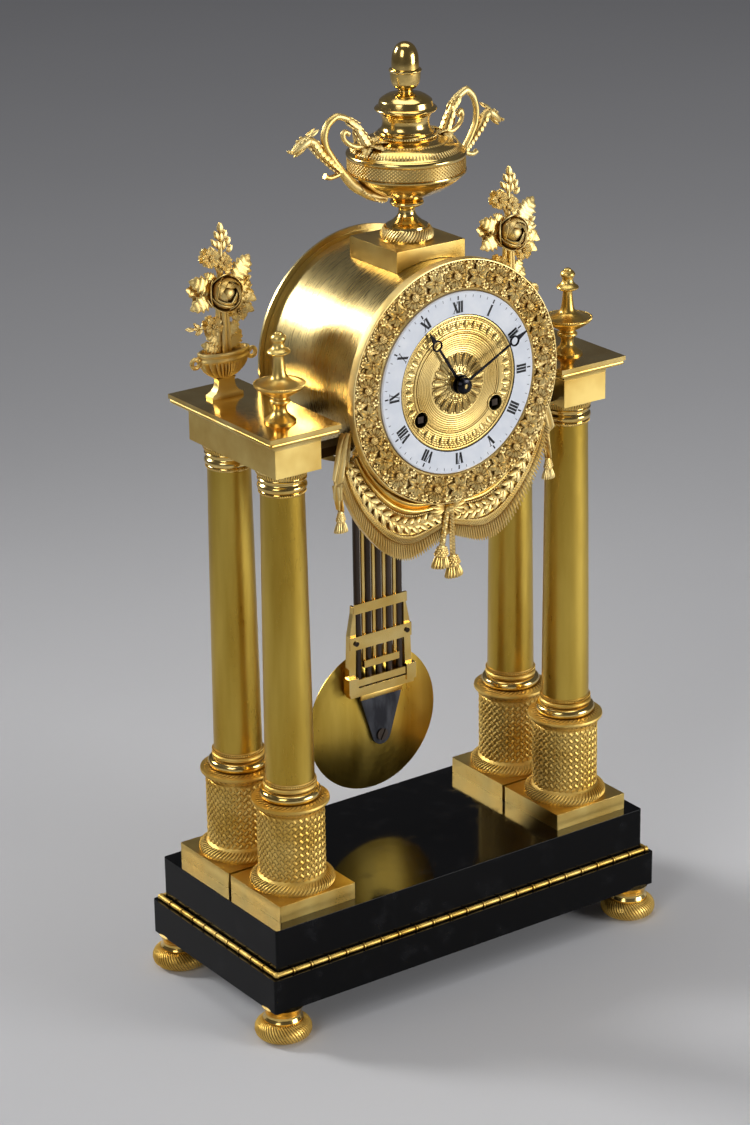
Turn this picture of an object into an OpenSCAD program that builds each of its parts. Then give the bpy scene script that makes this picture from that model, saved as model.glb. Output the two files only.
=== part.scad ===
// Portico mantel clock on four columns, with a gridiron pendulum, a flower bezel and an urn.
// Millimetres. The origin is on the table under the centre of the base; the dial faces -Y.

/* [Base] */
// Width of the lower slab
base_w = 252; // [230:1:280]
// Depth of the lower slab
base_d = 118.7; // [112:0.1:140]
// Height of the lower slab
lower_h = 19.3; // [14:0.1:26]
// Height of the upper slab
upper_h = 25.5; // [16:0.1:34]
// Width of the step between the two slabs
step_w = 4.8; // [4.5:0.1:8]
// Corner radius of the slabs
slab_round = 1.5; // [0.5:0.1:3]
// Radius of the rings on the reeded moulding
reel_r = 2; // [1.4:0.1:2.2]
// Distance between the rings of the moulding
reel_pitch = 11.3; // [8:0.1:16]

/* [Feet] */
// Height of a foot
foot_h = 18.8; // [14:0.1:26]
// Radius of a foot's bun
foot_r = 14.5; // [12:0.1:17]
// Distance of a foot's axis from the end of the slab
foot_in_x = 10.4; // [8:0.1:16]
// Distance of a foot's axis from the front of the slab
foot_in_y = 9.25; // [8:0.05:16]
// Radius of the stud that holds a foot
stud_r = 2.5; // [2:0.1:4]
// Length of that stud in the slab
stud_len = 10; // [6:0.5:13]

/* [Columns] */
// Distance of the column axes from the middle plane, sideways
column_x = 90.6; // [86:0.1:98]
// Distance of the column axes from the middle plane, front to back
column_y = 24.4; // [24:0.1:29]
// Side of a square plinth
plinth_w = 47; // [44:0.1:47.5]
// Height of a square plinth
plinth_h = 9; // [6:0.1:14]
// Height of a woven pedestal
pedestal_h = 59.4; // [54:0.1:70]
// Radius of the woven part of a pedestal
weave_r = 17.1; // [15:0.1:18.5]
// Height of a shaft
shaft_h = 156; // [140:0.5:175]
// Radius of a shaft at its foot
shaft_r = 12.9; // [11.8:0.1:13.1]
// Radius of a shaft at its top
shaft_top_r = 11.3; // [10:0.1:11.6]
// Height of a capital
capital_h = 13.1; // [11:0.1:18]
// Radius of the steel rod inside each column
tie_r = 3; // [2:0.1:4]

/* [Entablature] */
// Width of an architrave block
architrave_w = 27.7; // [27.5:0.1:32]
// Depth of an architrave block
architrave_d = 79; // [77:0.5:84]
// Height of an architrave block
architrave_h = 14.7; // [11:0.1:20]
// How far the cornice stands out
cornice_out = 7.3; // [5:0.1:7.6]
// Height of a cornice
cornice_h = 9.2; // [7.5:0.1:13]
// Height of a front finial
finial_h = 46.3; // [40:0.1:54]
// Radius of a finial's saucer
saucer_r = 13; // [10:0.1:15]
// Half length of a flower basket's rim
basket_rx = 15.3; // [13:0.1:16.5]
// Half depth of a flower basket's rim
basket_ry = 9.5; // [8:0.1:11]
// Height of a flower basket
basket_h = 25; // [21:0.1:30]
// Place of the baskets behind the middle plane
basket_y = 26.1; // [24:0.1:28]

/* [Drum] */
// Height of the drum's axis above the cornices
drum_rise = 8.2; // [4:0.1:14]
// Outer radius of the drum
drum_r = 59.5; // [58.5:0.1:60.5]
// Thickness of the drum's wall
drum_wall = 2; // [1.4:0.1:2.4]
// Front edge of the drum, ahead of the middle plane
drum_front = 44; // [43.5:0.1:45]
// Rear edge of the drum, behind the middle plane
drum_back = 33; // [32:0.1:34]
// Outer radius of the bezel and of the back door
bezel_r = 64; // [63:0.1:64.8]
// Thickness of the bezel's flange
bezel_t = 5; // [4.5:0.1:6]
// How far the drapery hangs behind the bezel
swag_behind = 3.7; // [2.5:0.1:5]
// Number of large daisies on the bezel
daisies = 13; // [9:1:15]
// Radius of a daisy
daisy_r = 6.4; // [5:0.1:7]

/* [Dial] */
// Radius of the dial
dial_r = 47.4; // [46:0.1:48]
// Inner radius of the enamel ring
enamel_in = 35.3; // [34:0.1:37]
// Thickness of the enamel
enamel_t = 2.1; // [1.5:0.1:2.2]
// Radius of a winding hole
winding_hole_r = 4; // [3.6:0.1:5]
// Side of a winding square
winding_square = 3.4; // [3:0.1:4]
// Distance of a winding hole from the middle plane
winding_x = 23.3; // [22.8:0.1:24]
// Distance of a winding hole below the dial's centre
winding_drop = 14.9; // [14:0.1:16]
// Length of the minute hand
minute_len = 45.6; // [40:0.1:47]
// Length of the hour hand
hour_len = 35.6; // [30:0.1:38]
// Angle of the minute hand at rest, clockwise from the top
minute_at = 62.6; // [0:0.1:360]
// Angle of the hour hand at rest, clockwise from the top
hour_at = -32.5; // [-180:0.1:180]

/* [Pendulum] */
// Radius of the bob
bob_r = 41.5; // [34:0.1:44]
// Half thickness of the bob
bob_t = 7; // [5:0.1:8]
// Space under the bob
bob_gap = 16.6; // [10:0.1:30]
// Plane of the rods, behind the middle plane
pendulum_y = 23; // [22:0.1:24]
// Height of the knife edge above the drum's axis
knife_rise = 37.8; // [36.5:0.1:39]
// Radius of a brass rod
rod_r = 1.2; // [0.9:0.05:1.25]
// Radius of a steel rod
steel_rod_r = 1.9; // [1.5:0.05:2]
// Distance between neighbouring rods
rod_pitch = 3.4; // [3.4:0.1:3.7]

/* [Urn] */
// Width of the urn's plinth
urn_plinth_w = 42.6; // [38:0.1:46]
// Depth of the urn's plinth
urn_plinth_d = 41; // [36:0.1:46]
// Top of the urn's plinth above the drum's wall
urn_plinth_rise = 7.2; // [4:0.1:12]
// Axis of the urn, ahead of the middle plane
urn_front = 7.7; // [4:0.1:12]
// Largest radius of the urn's body
urn_r = 30.3; // [26:0.1:31.5]
// Height of the urn's foot
urn_foot_h = 19.7; // [16:0.1:24]
// Height of the urn's body
urn_body_h = 42.6; // [38:0.1:48]
// Height of the urn's lid with its acorn
urn_lid_h = 37.8; // [32:0.1:44]

/* [Movement] */
// Radius of the two plates
plate_r = 51; // [50.5:0.1:52]
// Thickness of a plate
plate_t = 2; // [1.6:0.1:2.4]
// Distance between the plates
plate_gap = 40; // [40:0.1:41]
// Radius of a plain arbor
arbor_r = 1; // [0.8:0.05:1.1]
// Radius of the bell
bell_r = 20; // [16:0.1:20.5]

/* [Clearances] */
// Running clearance of an arbor in its hole
running = 0.05; // [0.02:0.01:0.1]
// Clearance of a piece on the seat that carries it
seat = 0.1; // [0.05:0.01:0.3]

/* [Hidden] */
gilt = "#cfa64c";
matt_gilt = "#b8962f";
pale_brass = "#b7a46a";
black_stone = "#1c1c1e";
blued_steel = "#1d2130";
steel = "#7d8084";
white_enamel = "#e6ebf2";
fine = 72;

// Heights, stacked from the table upwards
lower_z = foot_h;
upper_z = lower_z + lower_h;
base_top = upper_z + upper_h;
pedestal_z = base_top + plinth_h;
shaft_z = pedestal_z + pedestal_h;
capital_z = shaft_z + shaft_h;
architrave_z = capital_z + capital_h;
cornice_z = architrave_z + architrave_h;
cornice_top = cornice_z + cornice_h;
drum_z = cornice_top + drum_rise;
urn_z = drum_z + drum_r + urn_plinth_rise;
knife_z = drum_z + knife_rise;
bob_z = base_top + bob_gap + bob_r;

// Widths that follow the driving sizes
upper_w = base_w - 2 * step_w;
upper_d = base_d - 2 * step_w;
foot_x = base_w / 2 - foot_in_x;
foot_y = base_d / 2 - foot_in_y;
tie_hole_r = tie_r + seat;
nut_r = tie_r + 2.5;
nut_h = 4;
nut_pocket_r = nut_r + 1;
nut_pocket_h = nut_h + 2;
cornice_w = architrave_w + 2 * cornice_out;
cornice_d = architrave_d + 2 * cornice_out;
shell_in_r = drum_r - drum_wall;

// Depths of the movement, counted forwards from the middle plane
front_plate_z = drum_front - 8;
back_plate_z = front_plate_z - plate_gap - plate_t;
bezel_seat = front_plate_z + plate_t;
dial_back = drum_front + 2.5;
dial_front = dial_back + plate_t;
dial_face = dial_front + enamel_t;
hour_hand_z = dial_face + 1.6;
hand_t = 0.8;
minute_hand_z = hour_hand_z + hand_t + 1;
rod_plane = -pendulum_y;

// Wheels: teeth and module of every pair in mesh
barrel_teeth = 76;
barrel_module = 0.55;
second_leaves = 10;
second_teeth = 70;
second_module = 0.45;
centre_leaves = 10;
centre_teeth = 80;
centre_module = 0.4;
third_leaves = 8;
third_teeth = 72;
third_module = 0.35;
escape_leaves = 8;
escape_teeth = 40;
escape_r = 9.2;
cannon_leaves = 12;
minute_teeth = 36;
minute_module = 0.5;
minute_leaves = 10;
hour_teeth = 40;
hour_module = minute_module * (cannon_leaves + minute_teeth) / (minute_leaves + hour_teeth);
tooth_root = 0.29;
tooth_tip = 0.11;
wheel_t = 1.5;
arbor_hole_r = arbor_r + running;
winding_r = winding_square * 0.72;
winding_bore_r = winding_r + running;
centre_r = 1.2;
cannon_r = 2;
pipe_r = 3;

// Arbor places on the plates, as seen from the front
centre_at = [0, 0];
going_at = [winding_x, -winding_drop];
strike_at = [-winding_x, -winding_drop];
anchor_at = [0, knife_rise];
escape_at = [0, knife_rise - 13];
second_at = meet(centre_at, pair(second_teeth, centre_leaves, second_module),
                 going_at, pair(barrel_teeth, second_leaves, barrel_module), 1);
third_at = meet(centre_at, pair(centre_teeth, third_leaves, centre_module),
                escape_at, pair(third_teeth, escape_leaves, third_module), 1);
minute_wheel_at = polar(pair(cannon_leaves, minute_teeth, minute_module), 60);
hammer_at = [-10, -38];
bell_at = [-28, 2];
hammer_head_r = 3.2;
hammer_head_at = bell_at + polar(bell_r + hammer_head_r + 0.6, -80);
pillar_turns = [35, 145, 250, 290];
pillar_at_r = plate_r - 5.5;
pillar_r = 3;
pillar_pivot_r = 1.5;

// Phases that bring every pair into mesh at rest
second_phase = mesh_phase(bearing(centre_at, second_at), centre_leaves, 0, second_teeth);
barrel_phase = mesh_phase(bearing(second_at, going_at), second_leaves, 0, barrel_teeth);
third_phase = mesh_phase(bearing(centre_at, third_at), centre_teeth, 0, third_leaves);
escape_phase = mesh_phase(bearing(third_at, escape_at), third_teeth, 0, escape_leaves);
minute_phase = mesh_phase(bearing(centre_at, minute_wheel_at), cannon_leaves, 0, minute_teeth);
hour_phase = mesh_phase(bearing(minute_wheel_at, centre_at), minute_leaves, 0, hour_teeth);

// Points on an arc
function arc(cx, cy, r, from, to, n = 6) =
    [for (i = [0:n]) [cx + r * cos(from + (to - from) * i / n), cy + r * sin(from + (to - from) * i / n)]];

// A point at a distance and an angle
function polar(r, turn) = [r * cos(turn), r * sin(turn)];

// The direction from one point to another
function bearing(a, b) = atan2(b[1] - a[1], b[0] - a[0]);

// The distance between the arbors of a wheel and its pinion
function pair(teeth, leaves, size) = size * (teeth + leaves) / 2;

// The point at one distance from p and another from q, on the chosen side
function meet(p, rp, q, rq, side) =
    let (d = norm(q - p), along = (q - p) / d, a = (rp * rp - rq * rq + d * d) / (2 * d))
    p + a * along + side * sqrt(rp * rp - a * a) * [-along[1], along[0]];

// The phase of a second gear that puts its gap on the first gear's tooth
function mesh_phase(line, teeth, phase, other) = line + 180 - (180 - teeth * (line - phase)) / other;

// A smooth curve through hand-chosen points
function kept(p, i) = p[max(0, min(len(p) - 1, i))];
function between(a, b, c, d, t) =
    0.5 * (2 * b + (c - a) * t + (2 * a - 5 * b + 4 * c - d) * t * t + (3 * b - a - 3 * c + d) * t * t * t);
function smooth(p, n = 3) =
    concat([for (i = [0:len(p) - 2]) for (k = [0:n - 1])
        between(kept(p, i - 1), p[i], p[i + 1], kept(p, i + 2), k / n)], [p[len(p) - 1]]);

// The outline of a toothed wheel
function teeth_outline(count, size, phase) =
    let (tip = size * (count / 2 + 0.95), root = size * (count / 2 - 1.2), step = 360 / count)
    [for (k = [0:count - 1]) for (q = [[root, -tooth_root], [tip, -tooth_tip], [tip, tooth_tip],
        [root, tooth_root]]) polar(q[0], phase + (k + q[1]) * step)];

// A ring-shaped window between two spokes
function window(inner, outer, from, to) = concat(arc(0, 0, outer, from, to), arc(0, 0, inner, to, from));

// A rectangle with round corners, centred
function round_rect(w, d, r) =
    concat(arc(w / 2 - r, d / 2 - r, r, 0, 90, 4), arc(r - w / 2, d / 2 - r, r, 90, 180, 4),
        arc(r - w / 2, r - d / 2, r, 180, 270, 4), arc(w / 2 - r, r - d / 2, r, 270, 360, 4));

// A flower outline with round petals
function petals(r, count, depth) =
    [for (i = [0:count * 4 - 1]) polar(r * (1 - depth + depth * abs(sin(i * 45))), i * 90 / count)];

// A turned piece from its outline, bored through if asked
module lathe(outline, bore = 0) {
    last = len(outline) - 1;
    rotate_extrude($fn = fine)
        polygon(concat([[bore, outline[0][1]]], outline, [[bore, outline[last][1]]]));
}

// A plain round bar between two depths
module bar(r, from, to) {
    translate([0, 0, from]) cylinder(r = r, h = to - from, $fn = fine);
}

// A ring between two depths
module ring(outer, inner, from, to) {
    rotate_extrude($fn = fine) translate([inner, from]) square([outer - inner, to - from]);
}

// Something at each of the four columns
module at_columns() {
    for (sx = [-1, 1]) for (sy = [-1, 1])
        translate([sx * column_x, sy * column_y, 0]) children();
}

// Something on both entablatures
module at_sides() {
    for (sx = [-1, 1]) translate([sx * column_x, 0, 0]) children();
}

// The drum's own frame: x to the right, y up, z forwards
module facing() {
    translate([0, 0, drum_z]) rotate([90, 0, 0]) children();
}

// The drum's frame moved to an arbor
module on_arbor(place) {
    facing() translate([place[0], place[1], 0]) children();
}

// A toothed wheel with spokes
module spoked_wheel(count, size, phase, from, thick, spokes) {
    rim = size * (count / 2 - 3.2);
    hub = arbor_r + 1.6;
    translate([0, 0, from]) linear_extrude(thick) difference() {
        polygon(teeth_outline(count, size, phase));
        for (k = [0:spokes - 1])
            polygon(window(hub, rim, k * 360 / spokes + 16, (k + 1) * 360 / spokes - 16));
    }
}

// A solid pinion
module pinion(count, size, phase, from, to) {
    translate([0, 0, from]) linear_extrude(to - from) polygon(teeth_outline(count, size, phase));
}

// A slab with its corners rounded
module slab(w, d, z, h) {
    translate([0, 0, z]) linear_extrude(h) polygon(round_rect(w, d, slab_round));
}

// The holes that the tie rods and the foot studs need
module tie_holes() {
    at_columns() bar(tie_hole_r, lower_z - 1, base_top + 1);
    at_columns() bar(nut_pocket_r, lower_z - 1, lower_z + nut_pocket_h);
}

module at_feet() {
    for (sx = [-1, 1]) for (sy = [-1, 1]) translate([sx * foot_x, sy * foot_y, 0]) children();
}

module base_lower_slab() {
    color(black_stone) difference() {
        slab(base_w, base_d, lower_z, lower_h);
        tie_holes();
        at_feet() bar(stud_r + running, lower_z - 1, lower_z + stud_len + 0.5);
    }
}

module base_upper_slab() {
    color(black_stone) difference() {
        slab(upper_w, upper_d, upper_z, upper_h);
        tie_holes();
    }
}

// One reeded bar of the moulding, along its own z, centred
module reel(length) {
    ring_half = reel_r * 0.45;
    crest_half = reel_r * 0.25;
    waist = reel_r * 0.82;
    rings = floor((length / 2 - reel_r) / reel_pitch);
    lathe(concat([[waist, -length / 2]],
        [for (k = [-rings:rings]) for (q = [[waist, -ring_half], [reel_r, -crest_half], [reel_r, crest_half],
            [waist, ring_half]]) [q[0], k * reel_pitch + q[1]]],
        [[waist, length / 2]]));
}

module base_moulding() {
    x = upper_w / 2 + reel_r + seat;
    y = upper_d / 2 + reel_r + seat;
    color(gilt) translate([0, 0, upper_z + reel_r + seat]) {
        for (s = [-1, 1]) translate([0, s * y, 0]) rotate([0, 90, 0]) reel(2 * x);
        for (s = [-1, 1]) translate([s * x, 0, 0]) rotate([90, 0, 0]) reel(2 * y);
        for (sx = [-1, 1]) for (sy = [-1, 1]) translate([sx * x, sy * y, 0]) sphere(r = reel_r, $fn = fine);
    }
}

module feet() {
    neck_r = foot_r * 0.655;
    color(gilt) at_feet() {
        lathe(concat([[foot_r - 3.5, 0]], arc(foot_r - 5, 5.2, 5, -50, 80),
            smooth([[neck_r + 1, 11.4], [neck_r, foot_h - 4.5], [neck_r + 1.8, foot_h]])));
        bar(stud_r, foot_h - 1, foot_h + stud_len);
    }
}

module column_plinths() {
    color(gilt) at_columns() difference() {
        translate([0, 0, base_top]) linear_extrude(plinth_h) polygon(round_rect(plinth_w, plinth_w, 0.4));
        bar(tie_hole_r, base_top - 1, pedestal_z + 1);
    }
}

module column_pedestals() {
    top = pedestal_h;
    color(gilt) at_columns() translate([0, 0, pedestal_z]) lathe(concat(
        [[21.9, 0], [21.9, 1.6]], smooth([[21.4, 3.2], [18.4, 5], [weave_r, 6.4]]),
        [[weave_r, top - 17.4], [weave_r - 0.6, top - 16.8]],
        smooth([[weave_r + 0.2, top - 15], [20.3, top - 13.2], [20.3, top - 11.6]]),
        [[15.2, top - 10.8]], arc(13.4, top - 8.2, 2.6, -70, 70),
        [[13.2, top - 5.2]], arc(12.7, top - 3.7, 1.4, -80, 80), [[13.2, top - 1.8], [13.2, top]]), tie_hole_r);
}

module column_shafts() {
    color(matt_gilt) at_columns() translate([0, 0, shaft_z]) lathe(smooth([[shaft_r, 0],
        [shaft_r - 0.45, shaft_h * 0.33], [(shaft_r + shaft_top_r) / 2 - 0.15, shaft_h * 0.66],
        [shaft_top_r, shaft_h]], 4), tie_hole_r);
}

module column_capitals() {
    wide = shaft_top_r + 2.4;
    color(gilt) at_columns() translate([0, 0, capital_z]) lathe(concat(
        arc(shaft_top_r - 0.6, 1, 1, -90, 90), [[shaft_top_r - 0.2, 2.4]],
        arc(shaft_top_r, 3.8, 0.9, -90, 90), [[shaft_top_r, 5.2]],
        smooth([[shaft_top_r + 1, 6], [wide - 0.5, capital_h - 4], [wide, capital_h - 1.6]]),
        [[wide, capital_h]]), tie_hole_r);
}

module tie_rods() {
    color(steel) at_columns() bar(tie_r, lower_z + 1, cornice_z + cornice_h / 2);
}

module tie_rod_nuts() {
    color(steel) at_columns() translate([0, 0, lower_z + nut_pocket_h - nut_h]) difference() {
        cylinder(r = nut_r, h = nut_h, $fn = 6);
        bar(tie_r + running, -1, nut_h + 1);
    }
}

module architraves() {
    color(gilt) at_sides() difference() {
        translate([0, 0, architrave_z]) linear_extrude(architrave_h)
            polygon(round_rect(architrave_w, architrave_d, 0.3));
        for (sy = [-1, 1]) translate([0, sy * column_y, 0]) bar(tie_hole_r, architrave_z - 1, cornice_z + 1);
    }
}

// The cornice's moulded edge as a profile across its width
function cornice_profile(half) =
    let (fillet = 2.5, cove = cornice_h - fillet)
    concat([[0, 0], [half - cornice_out, 0], [half - cornice_out, 0.8]],
        arc(half - 1.2, 0.8, cornice_out - 1.2, 180, 90, 6),
        [[half - 0.6, cove], [half, cove], [half, cornice_h], [0, cornice_h]]);

module cornice_run(half, length) {
    translate([0, length / 2, 0]) rotate([90, 0, 0]) linear_extrude(length) {
        polygon(cornice_profile(half));
        mirror([1, 0]) polygon(cornice_profile(half));
    }
}

module cornices() {
    color(gilt) at_sides() translate([0, 0, cornice_z]) difference() {
        intersection() {
            cornice_run(cornice_w / 2, cornice_d);
            rotate([0, 0, 90]) cornice_run(cornice_d / 2, cornice_w);
        }
        for (sy = [-1, 1]) translate([0, sy * column_y, 0]) bar(tie_hole_r, -1, cornice_h / 2);
    }
}

module front_finials() {
    top = finial_h;
    color(gilt) at_sides() translate([0, -column_y, cornice_top]) lathe(concat(
        [[8, 0], [8, 0.9]], smooth([[6.6, 2], [3.6, 5], [3.3, 7.3], [3.6, 9]]),
        arc(3.7, 10.7, 1.6, -80, 80), smooth([[3.8, 12.6], [8, 15], [saucer_r - 0.8, 18]]),
        arc(saucer_r - 0.9, 19.1, 0.9, -90, 90), smooth([[9, 20.4], [3.9, 23.4], [2.8, 29.6], [2.5, 33.3]]),
        arc(4.4, top - 10.3, 1.45, -90, 90), smooth([[3.2, top - 8], [2.8, top - 5.4]]),
        arc(1.7, top - 3.4, 2.2, -60, 60), [[1.2, top - 0.6], [0.6, top]]));
}

// A gadrooned oval: the wall of a basket seen from above
function gadroon(rx, ry, lobes) =
    [for (i = [0:lobes * 4 - 1]) let (t = i * 90 / lobes, lift = 0.95 + 0.05 * abs(sin(i * 45)))
        [rx * lift * cos(t), ry * lift * sin(t)]];

// One tier of a basket, growing from one size to another
module tier(z, h, grow) {
    translate([0, 0, z]) linear_extrude(h, scale = grow) children();
}

module flower_baskets() {
    foot = basket_h * 0.4;
    lip = basket_h - foot;
    color(gilt) at_sides() translate([0, basket_y, cornice_top]) {
        linear_extrude(2.2) square([20, 12.4], center = true);
        tier(2.2, foot * 0.35, [0.72, 0.8]) square([20, 12.4], center = true);
        tier(2.2 + foot * 0.35 - 0.1, foot * 0.65 - 2.1, [0.62, 0.72]) square([14.4, 9.92], center = true);
        tier(foot - 0.4, lip * 0.5 + 0.4, 2.05) polygon(gadroon(basket_rx * 0.4, basket_ry * 0.45, 12));
        tier(foot + lip * 0.5 - 0.2, lip * 0.35 + 0.2, 1.19)
            polygon(gadroon(basket_rx * 0.82, basket_ry * 0.92, 12));
        translate([0, 0, foot + lip * 0.85 - 0.2]) linear_extrude(lip * 0.15 + 0.2)
            scale([basket_rx, basket_ry * 1.12]) polygon(arc(0, 0, 1, 0, 350, 35));
        for (s = [-1, 1]) translate([s * (basket_rx + 1.2), 0, foot + lip * 0.78]) rotate([90, 0, 0])
            rotate_extrude($fn = 24) translate([2.6, 0]) circle(r = 0.8, $fn = 16);
    }
}

// A pointed leaf along its own x, with a raised rib
module leaf(length, width) {
    hull() {
        sphere(d = 1.4, $fn = 4);
        translate([length * 0.45, 0, 0]) scale([1, 1, 0.24]) sphere(d = width, $fn = 6);
        translate([length, 0, length * 0.08]) sphere(d = 0.9, $fn = 4);
    }
}

// A small open flower that faces its own z
module blossom(r, count) {
    translate([0, 0, -0.8]) linear_extrude(1.6) polygon(petals(r, count, 0.4));
    translate([0, 0, 0.4]) sphere(r = r * 0.34, $fn = 6);
}

// A rose that faces its own z: rings of cupped petals round a bud
module rose(r) {
    for (layer = [0:1]) for (k = [0:4])
        rotate([0, 0, k * 72 + layer * 36]) rotate([0, -15 - layer * 32, 0])
            translate([r * (0.6 - layer * 0.22), 0, layer * 0.8])
                scale([1, 1, 0.4]) sphere(r = r * (0.46 - layer * 0.1), $fn = 6);
    sphere(r = r * 0.46, $fn = 8);
}

// A leaf or flower of the bouquet at a place seen from the front, turned about the line of sight
module sprig(x, z, turn, depth = 0) {
    translate([x, depth, z]) rotate([90, 0, 0]) rotate([0, 0, turn]) children();
}

module bouquet() {
    stem_top = 34;
    hull() {
        scale([1, 0.6, 1]) cylinder(d = 20, h = 1.4, $fn = 12);
        translate([0, 0, 8]) sphere(d = 5, $fn = 6);
    }
    hull() {
        translate([0, 0, 5]) sphere(d = 7, $fn = 6);
        translate([0, 0, stem_top]) sphere(d = 7.5, $fn = 6);
    }
    hull() {
        translate([0, 0, stem_top - 4]) sphere(d = 6, $fn = 6);
        translate([0, 0, stem_top + 20]) sphere(d = 2.6, $fn = 6);
    }
    sprig(0, 30, 0, -3) rose(8.5);
    sprig(-5.7, 48.6, 0, -1) blossom(5, 6);
    sprig(4.6, 45.5, 0, -1) blossom(4.6, 5);
    sprig(13.5, 24.4, 0, -1) blossom(4.2, 5);
    sprig(-16, 17.4, 0, -1) blossom(4.2, 5);
    sprig(0, 50, 90) leaf(15, 7);
    sprig(-1, 42, 130) leaf(17, 7.5);
    sprig(1, 40, 38) leaf(21, 8);
    sprig(-2, 33, 155) leaf(18, 8);
    sprig(2, 30, 10) leaf(18, 8);
    sprig(-2, 27, 182) leaf(19, 8);
    sprig(2, 22, 12) leaf(14, 7);
    sprig(-2, 22, 200) leaf(22, 6);
    sprig(2, 10, -18) leaf(13, 7);
    sprig(-2, 10, 198) leaf(13, 7);
}

module bouquets() {
    color(gilt) at_sides() translate([0, basket_y, cornice_top + basket_h + seat]) bouquet();
}

module drum_brackets() {
    reach = column_x - architrave_w / 2;
    color("#2b2a2a") difference() {
        for (s = [-1, 1]) for (y = [-drum_front * 0.57, drum_back * 0.55])
            translate([s * reach / 2, y, architrave_z + 4]) cube([reach, 10, 5], center = true);
        facing() bar(drum_r + seat, -drum_back - 1, drum_front + 1);
    }
}

module drum_shell() {
    swing = 2 * (4 * rod_pitch + steel_rod_r + 9);
    color(pale_brass) facing() difference() {
        ring(drum_r, shell_in_r, -drum_back, drum_front);
        translate([-swing / 2, -drum_r - 1, rod_plane - 5]) cube([swing, drum_r / 2, 10]);
    }
}

// The back door's hinge stands beside the drum, behind the rear ring
hinge_x = bezel_r + 2.5;
hinge_y = drum_back + 1.9;
hinge_r = 1.6;
knuckle_h = 6;
ring_back = -drum_back - 1;
door_front = ring_back - 0.2;

module rear_ring() {
    ear = hinge_x - drum_r + 2;
    color(gilt) {
        facing() ring(drum_r + 2, shell_in_r - 4, ring_back, -drum_back);
        facing() ring(shell_in_r - running, shell_in_r - 2, -drum_back - 0.5, -drum_back + 5);
        for (s = [-1, 1]) difference() {
            union() {
                translate([hinge_x, hinge_y, drum_z + s * knuckle_h]) cylinder(r = hinge_r,
                    h = knuckle_h - 0.2, center = true, $fn = fine);
                translate([hinge_x - ear, drum_back, drum_z + s * knuckle_h - knuckle_h / 2 + 0.1])
                    cube([ear, 1, knuckle_h - 0.2]);
            }
            translate([hinge_x, hinge_y, drum_z - 20]) cylinder(r = 0.7 + running, h = 40, $fn = fine);
        }
        translate([hinge_x, hinge_y, drum_z - 1.5 * knuckle_h]) cylinder(r = 0.7, h = 3 * knuckle_h, $fn = fine);
        for (s = [-1, 1]) translate([hinge_x, hinge_y, drum_z + s * (1.5 * knuckle_h)])
            sphere(r = 1.1, $fn = fine);
    }
}

module back_door() {
    arm = hinge_x - bezel_r + 3;
    color(pale_brass) {
        facing() lathe([[bezel_r - 4, door_front - 1.2], [bezel_r - 3.2, door_front - 2.2],
            [bezel_r - 0.6, door_front - 2.2], [bezel_r, door_front - 1.4], [bezel_r, door_front]]);
        facing() translate([-bezel_r + 9, 0, 0]) lathe([[1.2, door_front - 5], [2.6, door_front - 4.6],
            [2.6, door_front - 3.4], [1.4, door_front - 2.6], [1.4, door_front - 1]]);
        difference() {
            union() {
                translate([hinge_x, hinge_y, drum_z]) cylinder(r = hinge_r, h = knuckle_h - 0.3,
                    center = true, $fn = fine);
                translate([hinge_x - arm, hinge_y, drum_z - knuckle_h / 2 + 0.15])
                    cube([arm, hinge_r - 0.4, knuckle_h - 0.3]);
            }
            translate([hinge_x, hinge_y, drum_z - 20]) cylinder(r = 0.7 + running, h = 40, $fn = fine);
        }
    }
}

// One petalled flower that stands on the bezel's face
module bezel_flower(r, count, h, boss_r, boss_h) {
    linear_extrude(h) polygon(petals(r, count, 0.2));
    cylinder(r1 = boss_r, r2 = boss_r * 0.7, h = boss_h, $fn = fine);
}

module bezel() {
    face = drum_front + bezel_t;
    middle = (dial_r + bezel_r) / 2;
    color(gilt) facing() {
        lathe([[shell_in_r - 0.2, bezel_seat], [shell_in_r - 0.2, drum_front], [bezel_r - 0.6, drum_front],
            [bezel_r, drum_front + 0.6], [bezel_r, face], [bezel_r - 0.8, face + 0.9],
            [bezel_r - 2, face], [dial_r + 2.4, face], [dial_r + 1.2, face + 1], [dial_r + 0.2, face]],
            dial_r + 0.2);
        for (k = [0:daisies - 1]) rotate([0, 0, (k + 0.5) * 360 / daisies])
            translate([middle, 0, face - 0.5]) bezel_flower(daisy_r, 14, 2.6, daisy_r * 0.36, 4.3);
        for (k = [0:daisies - 1]) rotate([0, 0, k * 360 / daisies])
            translate([middle, 0, face - 0.5]) bezel_flower(daisy_r * 0.78, 7, 2.1, daisy_r * 0.22, 3.4);
    }
}

// Half of the drapery's outline, from the middle to one corner
swag_in = drum_r + seat;
swag_hang = [[0, 23.5], [5.9, 28.5], [14.6, 35.6], [23.7, 35], [36.2, 28.5], [48, 22.6], [58.8, 17.7]];
swag_low = [for (q = swag_hang) polar(drum_r + q[1], q[0] - 90)];
swag_front = drum_front - swag_behind;
swag_t = 5.5;
fringe_teeth = 32;

function along(p, t) =
    let (n = len(p) - 1, i = min(n - 1, floor(t * n)))
    between(kept(p, i - 1), p[i], p[i + 1], kept(p, i + 2), t * n - i);

// The hanging edge, cut into strands
function fringe() =
    [for (k = [0:fringe_teeth]) for (q = [0, 1]) let (p = along(swag_low, min(1, (k + q * 0.5) / fringe_teeth)))
        p * (1 - q * 0.016)];

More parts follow.
